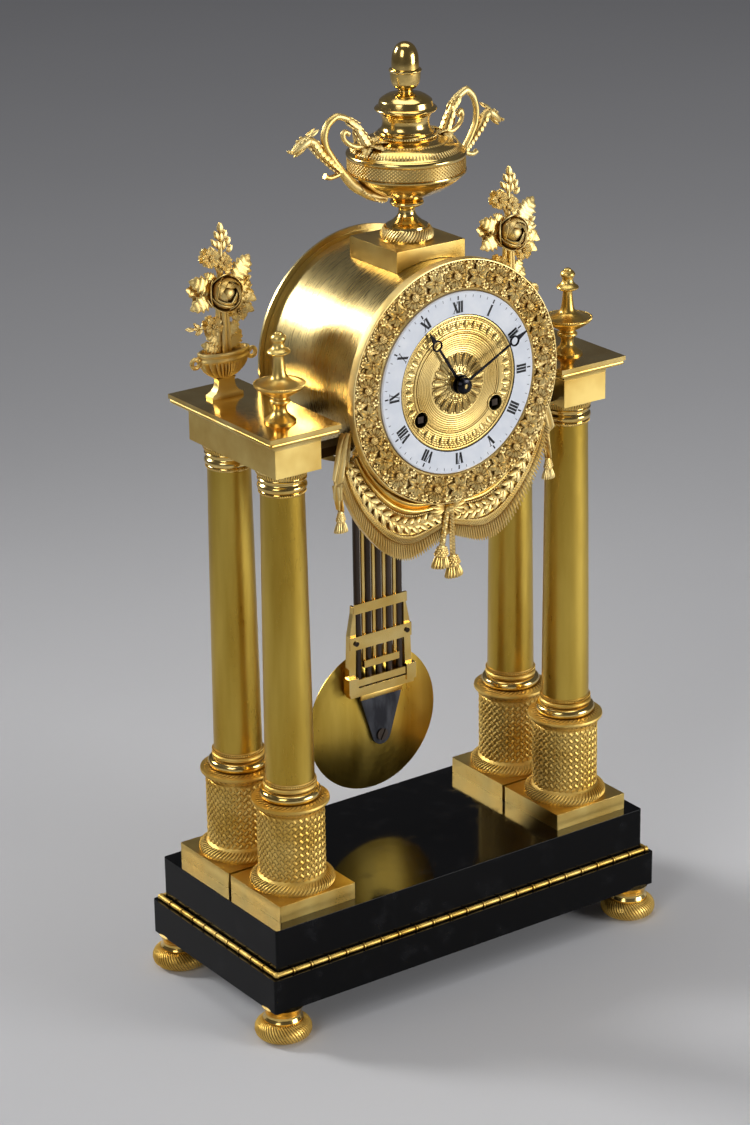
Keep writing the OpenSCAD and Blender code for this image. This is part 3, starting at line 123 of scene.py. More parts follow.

# %% [markdown]
# ## Finishes
# Each finish starts from what the metal or stone is and how its surface was worked. One small function
# adds a shader node with its settings and links. The metals differ in colour, in how rough they are, in
# the direction of their grain and in how much darkening lies in their hollows, dark patina together with
# painted shade, so one recipe takes those as values. The hollows are found with ambient occlusion, which
# reads the shape and not the camera; it darkens the colour where shade falls.

# %% A function that adds a node
def add(tree, kind, links=None, **settings):
    """One shader node. Settings that name an input fill it; links give an output for an input."""
    node = tree.nodes.new(kind)
    for key, value in settings.items():
        if key in node.inputs:
            node.inputs[key].default_value = value
        else:
            setattr(node, key, value)
    for key, output in (links or {}).items():
        tree.links.new(output, node.inputs[key])
    return node


def new_material(name):
    """A material, its nodes, its shader and the place on the piece that its patterns read."""
    material = bpy.data.materials.new(name)
    material.use_nodes = True
    tree = material.node_tree
    return material, tree, tree.nodes["Principled BSDF"], add(tree, "ShaderNodeTexCoord").outputs["Object"]


CLOUD_SPAN = {"From Min": 0.35, "From Max": 0.65}
OPEN_SPAN = {"From Min": 0.25, "From Max": 0.8}
MIXED_SPAN = {"From Min": 0.7, "From Max": 1.3}


def metal(name, light, dark, roughness, cloud_mm=22, grain_mm=0.9, bump_mm=0.02, stretch=(1, 1, 1),
          hollow=None, hollow_mm=2.5):
    """A worked metal: two tones in soft clouds, a grain that roughens it, and patina with painted shade in
    its hollows.
    """
    material, tree, shader, place = new_material(name)
    shader.inputs["Metallic"].default_value = 1
    drawn = add(tree, "ShaderNodeMapping", {"Vector": place}, Scale=stretch).outputs["Vector"]
    cloud = add(tree, "ShaderNodeTexNoise", {"Vector": drawn}, Detail=3,
                Scale=1 / (cloud_mm * MM)).outputs["Fac"]
    grain = add(tree, "ShaderNodeTexNoise", {"Vector": drawn}, Detail=2,
                Scale=1 / (grain_mm * MM)).outputs["Fac"]
    tone = add(tree, "ShaderNodeMapRange", {"Value": cloud}, **CLOUD_SPAN).outputs["Result"]
    colour = add(tree, "ShaderNodeMixRGB", {"Fac": tone}, Color1=linear(dark),
                 Color2=linear(light)).outputs["Color"]
    # Painted shade with patina: ambient occlusion pulls the colour towards the hollow tone in recesses.
    if hollow:
        shade = add(tree, "ShaderNodeAmbientOcclusion", samples=6, only_local=False,
                    Distance=hollow_mm * MM).outputs["AO"]
        open_air = add(tree, "ShaderNodeMapRange", {"Value": shade}, **OPEN_SPAN).outputs["Result"]
        colour = add(tree, "ShaderNodeMixRGB", {"Fac": open_air, "Color2": colour},
                     Color1=linear(hollow)).outputs["Color"]
    mixed = add(tree, "ShaderNodeMath", {0: cloud, 1: grain}, operation="ADD").outputs["Value"]
    rough = add(tree, "ShaderNodeMapRange", {"Value": mixed}, **MIXED_SPAN,
                **{"To Min": roughness[0], "To Max": roughness[1]}).outputs["Result"]
    bump = add(tree, "ShaderNodeBump", {"Height": grain}, Strength=1.0,
               Distance=bump_mm * MM).outputs["Normal"]
    for socket, output in (("Base Color", colour), ("Roughness", rough), ("Normal", bump)):
        tree.links.new(output, shader.inputs[socket])
    return material


print("metal recipe ready")

# %% [markdown]
# ### The gildings and the brass
# Fire gilding is a thin skin of gold over bronze. Burnished with an agate it mirrors; left as it came
# from the fire it is matt and pale. The columns were brushed lengthwise, so their grain is drawn out
# along z. The drum is plain lacquered brass, turned on a lathe, and its grain runs round the drum's axis:
# the noise is fine along y and long across it. Castings keep a brown patina in their hollows that no
# cloth reaches; the hollow tones paint shade there as well, so that the grooves stand out.

# %% Metals
METALS = {  # name: light tone, dark tone, roughness, and what differs from the recipe
    "burnished_gilding": ("#f4d68a", "#e4bc64", (0.10, 0.22), dict(bump_mm=0.004, grain_mm=3)),
    "chased_gilding": ("#fae3a0", "#ecca78", (0.38, 0.54),
                       # The hollow tones are patina and painted shade in the recesses.
                       dict(bump_mm=0.03, grain_mm=0.5, hollow="#b48838")),
    "matt_gilding": ("#f3d27a", "#e0b655", (0.42, 0.58), dict(grain_mm=0.4, hollow="#8a6222", hollow_mm=1.5)),
    "column_gilding": ("#dcbc58", "#c09c3c", (0.27, 0.40),
                       dict(cloud_mm=14, grain_mm=0.7, bump_mm=0.010, stretch=(1, 1, 0.12))),
    "satin_gilding": ("#f2d480", "#deb45a", (0.26, 0.42), dict(bump_mm=0.003, grain_mm=0.5)),
    "drum_brass": ("#dcc688", "#bea568", (0.22, 0.36),
                   dict(cloud_mm=26, grain_mm=0.5, bump_mm=0.012, stretch=(0.06, 1, 0.06))),
    "movement_brass": ("#e2c47c", "#cba75a", (0.18, 0.3), dict(grain_mm=0.6, bump_mm=0.006)),
    "bright_steel": ("#c2c5ca", "#a2a5ab", (0.18, 0.32), dict(grain_mm=0.6, bump_mm=0.006)),
    "rod_steel": ("#5a5049", "#3b332d", (0.25, 0.42), dict(stretch=(1, 1, 0.1), bump_mm=0.01)),
    "blued_steel": ("#2b2a2e", "#191a1e", (0.16, 0.3), dict(cloud_mm=6, bump_mm=0.004)),
    "tongue_iron": ("#56585e", "#3a3b40", (0.34, 0.52), dict(cloud_mm=5, grain_mm=0.5, stretch=(1, 1, 0.3))),
}
FINISH = {name: metal(name, light, dark, rough, **more)
          for name, (light, dark, rough, more) in METALS.items()}
print("metals:", ", ".join(FINISH))

# %% [markdown]
# ### Stone, enamel and black paint
# The base is black Belgian limestone, polished by hand: deep black, with paler scuffs where cloths and
# hands have passed. The chapter ring is white enamel fired on copper, as glossy as glass and never quite
# flat. The numerals were painted on it and fired again. These are not metals, so they get their own short
# recipe. The studio's paper floor is matt, so that it doesn't glare when it is seen against the light.

# %% Stone, enamel, paint and floor
def coated(name, light, dark, roughness, cloud_mm, bump_mm, spread=(0.4, 0.7), gloss=0.5):
    """A surface that isn't metal: two tones in clouds, and gloss that follows them."""
    material, tree, shader, place = new_material(name)
    shader.inputs["Specular IOR Level"].default_value = gloss
    cloud = add(tree, "ShaderNodeTexNoise", {"Vector": place}, Detail=6,
                Scale=1 / (cloud_mm * MM)).outputs["Fac"]
    tone = add(tree, "ShaderNodeMapRange", {"Value": cloud},
               **{"From Min": spread[0], "From Max": spread[1]}).outputs["Result"]
    colour = add(tree, "ShaderNodeMixRGB", {"Fac": tone}, Color1=linear(dark),
                 Color2=linear(light)).outputs["Color"]
    rough = add(tree, "ShaderNodeMapRange", {"Value": tone},
                **{"To Min": roughness[0], "To Max": roughness[1]}).outputs["Result"]
    bump = add(tree, "ShaderNodeBump", {"Height": cloud}, Distance=bump_mm * MM).outputs["Normal"]
    for socket, output in (("Base Color", colour), ("Roughness", rough), ("Normal", bump)):
        tree.links.new(output, shader.inputs[socket])
    FINISH[name] = material


coated("black_limestone", "#1c1c1e", "#070708", (0.10, 0.36), 12, 0.02, (0.55, 0.85), gloss=0.14)
coated("fired_enamel", "#f2f5fa", "#e6ebf3", (0.06, 0.10), 9, 0.02)
# The same black also paints the shadow line at the enamel's inner edge.
coated("numeral_black", "#1b1b1f", "#0e0e11", (0.2, 0.3), 2, 0.0)
coated("studio_paper", "#d6d6d8", "#d2d2d4", (0.8, 0.9), 900, 0.0, gloss=0.05)
floor.data.materials.append(FINISH["studio_paper"])
print("finishes:", len(FINISH))

# %% [markdown]
# ### Dressing the CAD solids
# A solid whose shape is already right keeps its mesh and only gets a finish. Blocks that were filed by
# hand never have a razor edge, so they also get a weld, which joins their loose triangles, and a narrow
# bevel that catches a line of light.

# %% Finishes for the CAD nodes
DRESSED = {
    "black_limestone": ["base_lower_slab", "base_upper_slab"],
    "burnished_gilding": ["base_moulding", "cornices", "front_finials", "urn_foot", "urn_body", "urn_lid",
                          "feet", "pendulum_yoke", "pendulum_bars", "brass_rods"],
    "satin_gilding": ["column_plinths", "architraves", "column_capitals", "dial_centre", "flower_baskets",
                      "urn_plinth"],
    "matt_gilding": ["column_pedestals"],
    "chased_gilding": ["bouquets", "urn_handle_left", "urn_handle_right", "drapery_swag", "bezel"],
    "column_gilding": ["column_shafts", "pendulum_bob"],
    "drum_brass": ["drum_shell", "rear_ring", "back_door"],
    "movement_brass": ["dial_plate", "pendulum_hanger", "front_plate", "back_plate", "pillars", "back_cock",
                       "going_barrel", "strike_barrel", "second_wheel", "centre_wheel", "third_wheel",
                       "escape_wheel", "cannon_pinion", "minute_wheel", "hour_wheel", "bell"],
    "bright_steel": ["tie_rods", "tie_rod_nuts", "bell_post", "hammer", "anchor"],
    "rod_steel": ["steel_rods", "drum_brackets", "going_arbor", "strike_arbor"],
    "blued_steel": ["hour_hand", "minute_hand", "hand_nut"],
    "tongue_iron": ["pendulum_tongue"],
    "fired_enamel": ["dial_ring"],
}
for finish, names in DRESSED.items():
    for name in names:
        slots = bpy.data.objects[name].data.materials
        if len(slots):
            slots[0] = FINISH[finish]
        else:
            slots.append(FINISH[finish])
EDGE_MM = {"base_lower_slab": 0.5, "base_upper_slab": 0.5, "column_plinths": 0.15, "architraves": 0.2,
           "cornices": 0.15, "hour_hand": 0.25, "minute_hand": 0.2, "going_arbor": 0.6, "strike_arbor": 0.6,
           "urn_plinth": 0.3, "pendulum_bars": 0.15, "pendulum_yoke": 0.35, "pendulum_tongue": 0.3}
WELD_MM, EDGE_ANGLE = 0.002, math.radians(40)
for name, width in EDGE_MM.items():
    block = bpy.data.objects[name]
    block.modifiers.new("weld", "WELD").merge_threshold = WELD_MM * MM
    edge = block.modifiers.new("filed_edge", "BEVEL")
    edge.width, edge.segments, edge.limit_method, edge.angle_limit = width * MM, 2, "ANGLE", EDGE_ANGLE
print("dressed", sum(map(len, DRESSED.values())), "CAD nodes,", len(EDGE_MM), "with filed edges")

# %% [markdown]
# ## Tools for the ornament
# Castings repeat a few forms: turned rings, blades (petals and leaves), beads and cords. Each form has a
# small function that starts from a primitive and shapes it. They all work in millimetres in the frame of
# the piece, and the last step moves the finished mesh into the clock's frame, in metres.

# %% Starting and shaping
def start(name, kind, **sizes):
    """A primitive to begin with, alone in the selection."""
    leave_edit_mode()
    getattr(bpy.ops.mesh, f"primitive_{kind}_add")(**sizes)
    piece = bpy.context.object
    piece.name = piece.data.name = name
    return piece


def edit_all(piece):
    """The piece in edit mode with everything on it selected."""
    leave_edit_mode()
    piece.select_set(True)
    bpy.context.view_layer.objects.active = piece
    bpy.ops.object.mode_set(mode="EDIT")
    bpy.ops.mesh.select_all(action="SELECT")


def edit_faces(piece, wanted):
    """The piece in edit mode with only those faces selected whose centre is wanted."""
    edit_all(piece)
    bpy.ops.mesh.select_mode(type="FACE")
    bpy.ops.mesh.select_all(action="DESELECT")
    bpy.ops.object.mode_set(mode="OBJECT")
    for face in piece.data.polygons:
        face.select = wanted(face.center)
    bpy.ops.object.mode_set(mode="EDIT")


def sculpt(piece, move):
    """Every point of the mesh goes where the function sends it."""
    for vertex in piece.data.vertices:
        vertex.co = move(vertex.co)
    return piece


def thickened(piece, thickness, offset=-1.0):
    """A sheet with a wall, from a modifier that is applied."""
    bpy.context.view_layer.objects.active = piece
    wall = piece.modifiers.new("thickness", "SOLIDIFY")
    wall.thickness, wall.offset = thickness, offset
    bpy.ops.object.modifier_apply(modifier="thickness")
    return piece


def face_outwards(piece):
    """Normals made to point outwards."""
    edit_all(piece)
    bpy.ops.mesh.normals_make_consistent(inside=False)
    leave_edit_mode()


def close_up(piece, angle=42):
    """Doubles merged, faces turned outwards, soft shading with crisp edges."""
    edit_all(piece)
    bpy.ops.mesh.remove_doubles(threshold=1e-3)
    bpy.ops.mesh.normals_make_consistent(inside=False)
    bpy.ops.object.mode_set(mode="OBJECT")
    bpy.ops.object.shade_smooth_by_angle(angle=math.radians(angle))
    return piece


def turned(name, outline, steps=96, closed=False):
    """A lathe piece about z: an outline of (radius, height) drawn point by point, then spun."""
    piece = start(name, "plane", size=1)
    edit_all(piece)
    bpy.ops.mesh.merge(type="CENTER")
    points = [Vector((r, 0, h)) for r, h in (outline + outline[:1] if closed else outline)]
    bpy.ops.transform.translate(value=points[0])
    for last, following in zip(points, points[1:]):
        bpy.ops.mesh.extrude_vertices_move(TRANSFORM_OT_translate={"value": following - last})
    bpy.ops.mesh.select_all(action="SELECT")
    bpy.ops.mesh.spin(steps=steps, angle=2 * math.pi, center=(0, 0, 0), axis=(0, 0, 1))
    return close_up(piece)


print("shaping tools ready")

# %% Placing, copying and finishing
DRUM_Z = 333.2
METRES = Matrix.Scale(MM, 4)
FACING = METRES @ Matrix.Translation((0, 0, DRUM_Z)) @ Matrix.Rotation(math.radians(90), 4, "X")


def at(x, y, z=0.0, turn=0.0, size=1.0, pitch=0.0):
    """A place: sized, turned about z, tipped about x by the pitch, and moved there."""
    return (Matrix.Translation((x, y, z)) @ Matrix.Rotation(math.radians(pitch), 4, "X")
            @ Matrix.Rotation(math.radians(turn), 4, "Z") @ Matrix.Scale(size, 4))


def round_at(radius, angle, z=0.0, turn=0.0, size=1.0):
    """A place on the dial: a radius, a clockwise angle from the top, and a turn from pointing outwards."""
    a = math.radians(angle)
    return at(radius * math.sin(a), radius * math.cos(a), z, turn - angle, size)


def corners_at(x, y, z=0.0):
    """The four places that mirror each other at plus and minus x and y."""
    return [at(sx * x, sy * y, z) for sx in (-1, 1) for sy in (-1, 1)]


def ring_of(piece, count, place=None):
    """A unit moved to its place and copied round the z axis."""
    if place:
        piece.data.transform(place)
    edit_all(piece)
    bpy.ops.mesh.spin(steps=count - 1, dupli=True, angle=2 * math.pi * (count - 1) / count, center=(0, 0, 0),
                      axis=(0, 0, 1))
    bpy.ops.object.mode_set(mode="OBJECT")
    return piece


def joined(name, pieces):
    """Several objects made one."""
    leave_edit_mode()
    for piece in pieces:
        piece.select_set(True)
    bpy.context.view_layer.objects.active = pieces[0]
    if len(pieces) > 1:
        bpy.ops.object.join()
    pieces[0].name = pieces[0].data.name = name
    return pieces[0]


def copies(unit, places, keep=False):
    """Copies of one modelled unit, each with its own mesh, moved by a matrix each and joined."""
    made = []
    for place in places:
        copy = unit.copy()
        copy.data = unit.data.copy()
        copy.data.transform(place)
        bpy.context.collection.objects.link(copy)
        made.append(copy)
    name = unit.name
    if not keep:
        bpy.data.objects.remove(unit)
    return joined(name, made)


def finish_piece(piece, finish, into=METRES, body="case", angle=42):
    """The mesh moved into the clock's frame, dressed unless it is already, and set to ride on a body."""
    piece.data.transform(into)
    piece.data.update()
    leave_edit_mode()
    piece.select_set(True)
    bpy.context.view_layer.objects.active = piece
    bpy.ops.object.shade_smooth_by_angle(angle=math.radians(angle))
    if finish:
        piece.data.materials.clear()
        piece.data.materials.append(FINISH[finish])
    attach(piece, body)
    print(piece.name, "faces:", len(piece.data.polygons))
    return piece


print("copying tools ready")

# %% [markdown]
# ### Blades, beads and cords
# A petal and a leaf are the same thing to a modeller: a flattened sphere drawn out along y, widest where
# the maker wants it, with a groove down the middle. A bead is a coarse sphere, because hundreds of them
# are used. A cord or stem is a curve with a round bevel whose radius changes from point to point, made a
# mesh.

# %% Blades, beads and cords
def blade(name, length, width, thick, widest=0.55, blunt=0.6, groove=0.35, rise=0.0, droop=0.0, teeth=0,
          segments=10, rings=8):
    """A petal or leaf along its own y from the origin, with its face towards z."""
    bulge = math.log(0.5) / math.log(widest)

    def move(point):
        run = (1 + point.z) / 2
        girth = math.sqrt(max(1e-9, 1 - point.z ** 2))
        across, up = point.x / girth, point.y / girth
        if girth < 1e-3:
            across = up = 0
        full = math.sin(math.pi * run ** bulge) ** blunt if 0 < run < 1 else 0
        half = width / 2 * full
        height = up * thick / 2 * full
        if teeth:
            half *= 0.62 + 0.50 * (run * teeth % 1) ** 0.7
            wave = math.sin(2 * math.pi * (run * teeth - 0.6 * abs(across)))
            height += 0.18 * thick * full * wave * abs(across)
        if up > -0.1:
            height -= groove * thick * math.exp(-(across / 0.32) ** 2) * full
        height += rise * math.sin(math.pi * run * 0.85) - droop * run ** 2
        return Vector((across * half, run * length, height))

    return sculpt(start(name, "uv_sphere", segments=segments, ring_count=rings, radius=1), move)


def bead(name, radius, squash=1.0, segments=7, rings=5):
    """A coarse bead at the origin."""
    return sculpt(start(name, "uv_sphere", segments=segments, ring_count=rings, radius=radius),
                  lambda p: Vector((p.x, p.y, p.z * squash)))


def pearls_round(name, size, count, radius, height):
    """A ring of small pearls about z."""
    return ring_of(bead(name, size, 1.0, 6, 4), count, at(0, radius, height))


def cord(name, points, radii, resolution=4, sides=3):
    """A round cord, stem or limb along points, thick as the radii say, closed at both ends."""
    leave_edit_mode()
    curve = bpy.data.curves.new(name, "CURVE")
    curve.dimensions = "3D"
    curve.bevel_depth, curve.bevel_resolution, curve.use_fill_caps = 1.0, sides, True
    curve.resolution_u = resolution
    spline = curve.splines.new("BEZIER")
    spline.bezier_points.add(len(points) - 1)
    for knot, point, radius in zip(spline.bezier_points, points, radii):
        knot.co, knot.radius = point, radius
        knot.handle_left_type = knot.handle_right_type = "AUTO"
    piece = bpy.data.objects.new(name, curve)
    bpy.context.collection.objects.link(piece)
    piece.select_set(True)
    bpy.context.view_layer.objects.active = piece
    bpy.ops.object.convert(target="MESH")
    return close_up(bpy.context.object, 60)


def through(points, t):
    """A point at 0 to 1 along a smooth curve that passes through every given point."""
    points = [Vector(p) for p in points]
    place = min(max(t, 0.0), 1.0) * (len(points) - 1)
    k = min(int(place), len(points) - 2)
    a, b, c, d = (points[min(max(k + j, 0), len(points) - 1)] for j in (-1, 0, 1, 2))
    u = place - k
    square, cube = 2 * a - 5 * b + 4 * c - d, 3 * b - a - 3 * c + d
    return 0.5 * (2 * b + (c - a) * u + square * u ** 2 + cube * u ** 3)


def moulded(strokes, base, start_points=()):
    """An outline of smooth strokes of radius and height, each measured from a base height."""
    points = [Vector(p) for p in start_points] + [through(s, k / 12) for s in strokes for k in range(13)]
    return [(spot[0], base + spot[1]) for spot in points]


print("ornament tools ready")

# %% [markdown]
# ## The bezel of flowers
# The ring round the dial is a chased casting: thirteen large daisies alternate with thirteen leafy
# blossoms, and the gaps between them are packed with florets and leaves. It takes the most skill on the
# whole clock. One sector with one daisy and one blossom is modelled, then spun thirteen times. The ring
# under them is a lathe piece with a hollow moulding behind its rim, and a line of fine beads runs inside
# the rim.

# %% The bezel's ring
BEZEL_R, DIAL_R, FACE, DRUM_FRONT, DRUM_R = 64.0, 47.6, 49.0, 44.0, 59.6
COVE, SOCKET_R, SEAT = 3.4, 57.3, 38
cove = [(BEZEL_R - 0.6 - COVE * math.cos(a), DRUM_FRONT - COVE + COVE * math.sin(a))
        for a in (math.radians(15 * k) for k in range(7))]
bezel_outline = [(SOCKET_R, SEAT), (SOCKET_R, DRUM_FRONT), (DRUM_R, DRUM_FRONT), (DRUM_R, DRUM_FRONT - COVE)]
bezel_outline += cove + [
    (BEZEL_R, DRUM_FRONT + 0.6), (BEZEL_R, FACE - 0.3), (BEZEL_R - 0.3, FACE + 0.4),
    (BEZEL_R - 0.8, FACE + 0.5), (BEZEL_R - 1.0, FACE), (BEZEL_R - 1.5, FACE - 0.6),
    (DIAL_R + 2.2, FACE - 0.6), (DIAL_R + 1.7, FACE + 0.5), (DIAL_R + 1.0, FACE + 1.0),
    (DIAL_R + 0.4, FACE + 0.6), (DIAL_R, FACE - 0.2), (DIAL_R, SEAT)]
bezel_ring = turned("bezel_ring", bezel_outline, steps=160, closed=True)
print("bezel ring faces:", len(bezel_ring.data.polygons))

# %% Daisies, blossoms, florets and leaves
STIPPLE = ((1.55, 11, 2.55), (0.85, 6, 2.9), (0, 1, 3.05))  # radius, how many, height
petal = blade("daisy", 4.1, 1.85, 1.4, widest=0.66, blunt=0.45, groove=0.45, rise=0.9, droop=0.7)
dome = copies(bead("dome", 2.1, 0.62, 14, 8), [at(0, 0, 1.7)])
stipple = copies(bead("stipple", 0.36, 1.0, 6, 4),
                 [round_at(r, 360 * k / n, h) for r, n, h in STIPPLE for k in range(n)])
daisy = joined("daisy", [ring_of(petal, 15, at(0, 2.45, 0.9)), dome, stipple])

petal = blade("blossom", 5.0, 3.4, 1.6, widest=0.52, blunt=0.85, groove=0.6, rise=1.2, droop=1.0)
eye = copies(bead("eye", 0.6, 0.9, 7, 5), [at(0, 0, 1.7)])
blossom = joined("blossom", [ring_of(petal, 6, at(0, 0.7, 0.8)), eye])

petal = blade("floret", 1.75, 1.5, 0.9, widest=0.6, blunt=0.6, groove=0.4, rise=0.5, segments=6, rings=5)
floret = joined("floret", [ring_of(petal, 5, at(0, 0.35, 0.7)), bead("floret_eye", 0.55, 0.9)])
leaf = blade("leaf", 4.6, 2.2, 1.0, widest=0.42, blunt=0.95, groove=0.6, rise=0.7, droop=0.6, segments=8,
             rings=6)
for flower in (daisy, blossom, floret):
    print(flower.name, "faces:", len(flower.data.polygons))

# %% One sector, and thirteen of them
SECTORS, MIDDLE = 13, 55.7
FLORETS = [(50.7, 0.53, 1.0), (60.7, 0.5, 1.12), (52.6, 0.98, 0.8), (61.4, 0.93, 0.85), (50.1, 0.14, 0.72),
           (61.9, 0.12, 0.75)]  # radius, share of half a sector, size
GAP_LEAVES = [(50.6, 0.42, 60, 0.72), (51.2, 0.66, -50, 0.8), (60.2, 0.4, 110, 0.75), (60.4, 0.62, -115, 0.8),
              (58.2, 0.44, 30, 0.8), (53.4, 0.46, 150, 0.8), (49.6, 0.3, 80, 0.6), (49.7, 0.76, -84, 0.62),
              (62.0, 0.3, 96, 0.6), (62.1, 0.72, -98, 0.62), (55.6, 0.52, 20, 0.7), (56.2, 0.5, 165, 0.7)]
half_sector = 180 / SECTORS
ground = FACE - 0.6
sector = [copies(daisy, [round_at(MIDDLE, 0, ground, 7)]),
          copies(blossom, [round_at(MIDDLE, half_sector, ground, 12, 1.08)]),
          copies(floret, [round_at(r, s * half_sector * share, ground + 0.2, 20 * s, size) @ at(0, 0, 0.3)
                          for s in (-1, 1) for r, share, size in FLORETS]),
          copies(leaf, [round_at(r, s * half_sector * share, ground + 0.3, s * turn, size)
                        for s in (-1, 1) for r, share, turn, size in GAP_LEAVES])]
flowers = ring_of(joined("bezel_flowers", sector), SECTORS)
rim_beads = pearls_round("rim_beads", 0.46, 170, BEZEL_R - 1.55, FACE)
bezel = joined("flower_bezel", [bezel_ring, flowers, rim_beads])
finish_piece(bezel, "chased_gilding", FACING)
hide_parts("bezel")

# %% [markdown]
# ## The enamel ring
# The numerals are roman, set with their feet to the centre, four as IIII. They were painted with a brush
# that makes one thick and one thin stroke, and end in hairline serifs. Each stroke is one flat bar,
# copied, so that the paint stands a hair above the enamel instead of being part of its colour. Minute
# marks and hour dashes follow, and a black ring at the ring's inner edge is a painted shadow: it stands
# for the shadow line where the enamel meets the gilt centre.

# %% The strokes of a numeral
ENAMEL_Z, PAINT = 50.6, 0.09
NUMERAL_FOOT, NUMERAL_HEIGHT = 36.9, 5.8
THICK, THIN, SERIF, SERIF_HALF = 1.25, 0.36, 0.24, 0.72
LETTER_W = {"I": 1.62, "V": 3.1, "X": 3.1}


def stroke(x0, y0, x1, y1, width):
    """The place of a bar between two points of a face."""
    run = Vector((x1 - x0, y1 - y0, 0))
    turn = math.degrees(math.atan2(run.y, run.x)) - 90
    return at((x0 + x1) / 2, (y0 + y1) / 2, 0, turn) @ Matrix.Diagonal((width, run.length, PAINT, 1))


def letter(kind, x):
    """The strokes of one roman letter that starts at a place on its line."""
    top = NUMERAL_HEIGHT
    stem = x + (0.75 if kind == "I" else 1.6)
    if kind == "I":
        made = [stroke(stem, 0, stem, top, THICK)]
        ends = [(stem, 0), (stem, top)]
    elif kind == "V":
        left, right = stem - 1.15, stem + 1.15
        made = [stroke(stem, 0, left, top, THICK), stroke(stem, 0, right, top, THIN)]
        ends = [(left, top), (right, top)]
    else:
        left, right = stem - 1.2, stem + 1.2
        made = [stroke(right, 0, left, top, THICK), stroke(left, 0, right, top, THIN)]
        ends = [(x, y) for x in (left, right) for y in (0, top)]
    return made + [stroke(x - SERIF_HALF, y, x + SERIF_HALF, y, SERIF) for x, y in ends]


print("strokes of XII:", sum(len(letter(kind, 0)) for kind in "XII"))

# %% Numerals and minute marks
EDGE_R, DASH_R, MARK_R = 35.3, 44.6, 45.1
bar_unit = start("stroke", "cube", size=1)
edit_all(bar_unit)
bpy.ops.mesh.bevel(offset=0.08, segments=1, affect="EDGES")
leave_edit_mode()
paint_z = ENAMEL_Z + PAINT / 2
paint = []
for hour, word in enumerate(("XII", "I", "II", "III", "IIII", "V", "VI", "VII", "VIII", "IX", "X", "XI")):
    strokes, line = [], 0.0
    for kind in word:
        strokes += letter(kind, line)
        line += LETTER_W[kind]
    centre = round_at(NUMERAL_FOOT, hour * 30, paint_z) @ at(-line / 2, 0)
    paint += [centre @ bar for bar in strokes]
    paint.append(round_at(DASH_R, hour * 30, paint_z) @ Matrix.Diagonal((0.75, 2.1, PAINT, 1)))
for minute in range(60):
    if minute % 5:
        paint.append(round_at(MARK_R, minute * 6, paint_z) @ Matrix.Diagonal((0.22, 1.4, PAINT, 1)))
# Painted shadow: a black sloped ring at the enamel's inner edge stands for the shadow line there.
inner_line = turned("inner_line", [(EDGE_R - 0.05, ENAMEL_Z - 0.5), (EDGE_R + 0.02, ENAMEL_Z - 0.3),
                                   (EDGE_R + 0.4, ENAMEL_Z + 0.06), (EDGE_R + 0.45, ENAMEL_Z)])
numerals = joined("dial_numerals", [copies(bar_unit, paint), inner_line])
finish_piece(numerals, "numeral_black", FACING, angle=20)

# %% [markdown]
# ## The gilt centre of the dial
# The middle was stamped from sheet and turned: a rosette round the hands, a plain field with fine turned
# rings, a band of leaf tips and a row of pearls, parted by narrow mouldings. The finest rings come from a
# bump that repeats outwards from the dial's axis; the rosette, the leaf tips and the pearls are blades
# and beads, and the lathe gives the mouldings. A raised lip protects each winding hole.

# %% Turned gilding for the dial's centre
DIAL_RING_MM, RING_BUMP_MM = 1.1, 0.07
# Its hollow tone is patina and painted shade in the recesses of the relief.
dial_gilding = metal("turned_dial_gilding", "#ecd088", "#d8b464", (0.24, 0.36), bump_mm=0.0, grain_mm=0.6,
                     hollow="#7a5518", hollow_mm=1.5)
tree = dial_gilding.node_tree
spot = add(tree, "ShaderNodeTexCoord").outputs["Object"]
spot = add(tree, "ShaderNodeMapping", {"Vector": spot}, Location=(0, 0, -DRUM_Z * MM)).outputs["Vector"]
rings = add(tree, "ShaderNodeTexWave", {"Vector": spot}, wave_type="RINGS", rings_direction="Y",
            Scale=2 * math.pi / (20 * DIAL_RING_MM * MM), Distortion=0.0).outputs["Fac"]
ringed = add(tree, "ShaderNodeBump", {"Height": rings}, Distance=RING_BUMP_MM * MM).outputs["Normal"]
tree.links.new(ringed, tree.nodes["Principled BSDF"].inputs["Normal"])
FINISH["turned_dial_gilding"] = dial_gilding
bpy.data.objects["dial_centre"].data.materials[0] = dial_gilding
print("dial rings every", DIAL_RING_MM, "mm")

# %% Rosette, leaf tips, pearls and mouldings
FIELD = 49.85
UNITS = (  # blade, how many, radius of its root, clockwise angle
    (blade("rosette", 8.6, 3.7, 1.6, widest=0.72, blunt=0.5, groove=0.4, rise=0.5, rings=9), 18, 7.6, 0),
    (blade("inner_lobe", 4.4, 1.7, 1.3, widest=0.65, groove=0.3, rise=0.5, segments=8, rings=6),
     18, 4.4, -10),
    (blade("dart", 8.4, 0.8, 1.3, widest=0.6, blunt=0.4, groove=0.0, segments=6, rings=5), 18, 8.0, -10),
    (blade("leaf_tip", 5.2, 3.4, 1.2, widest=0.5, blunt=0.8, groove=0.5, rise=0.35, segments=8, rings=7),
     36, 27.9, 0),
    (blade("between", 3.6, 1.4, 0.9, widest=0.5, blunt=0.8, groove=0.0, segments=6, rings=5), 36, 29.3, -5),
)
relief = [ring_of(unit, count, round_at(radius, angle, FIELD)) for unit, count, radius, angle in UNITS]
relief.append(pearls_round("pearl", 0.42, 120, 33.45, FIELD + 0.1))
MOULDINGS = [(17.4 + 0.95 * k, 0.12) for k in range(8)] + [(25.2, 0.35), (27.1, 0.42), (34.4, 0.5)]
for radius, height in MOULDINGS:
    top = FIELD + height
    relief.append(turned("moulding", [(radius - 0.45, FIELD - 0.2), (radius - 0.3, top), (radius + 0.3, top),
                                      (radius + 0.45, FIELD - 0.2)]))
relief = joined("dial_relief", relief)
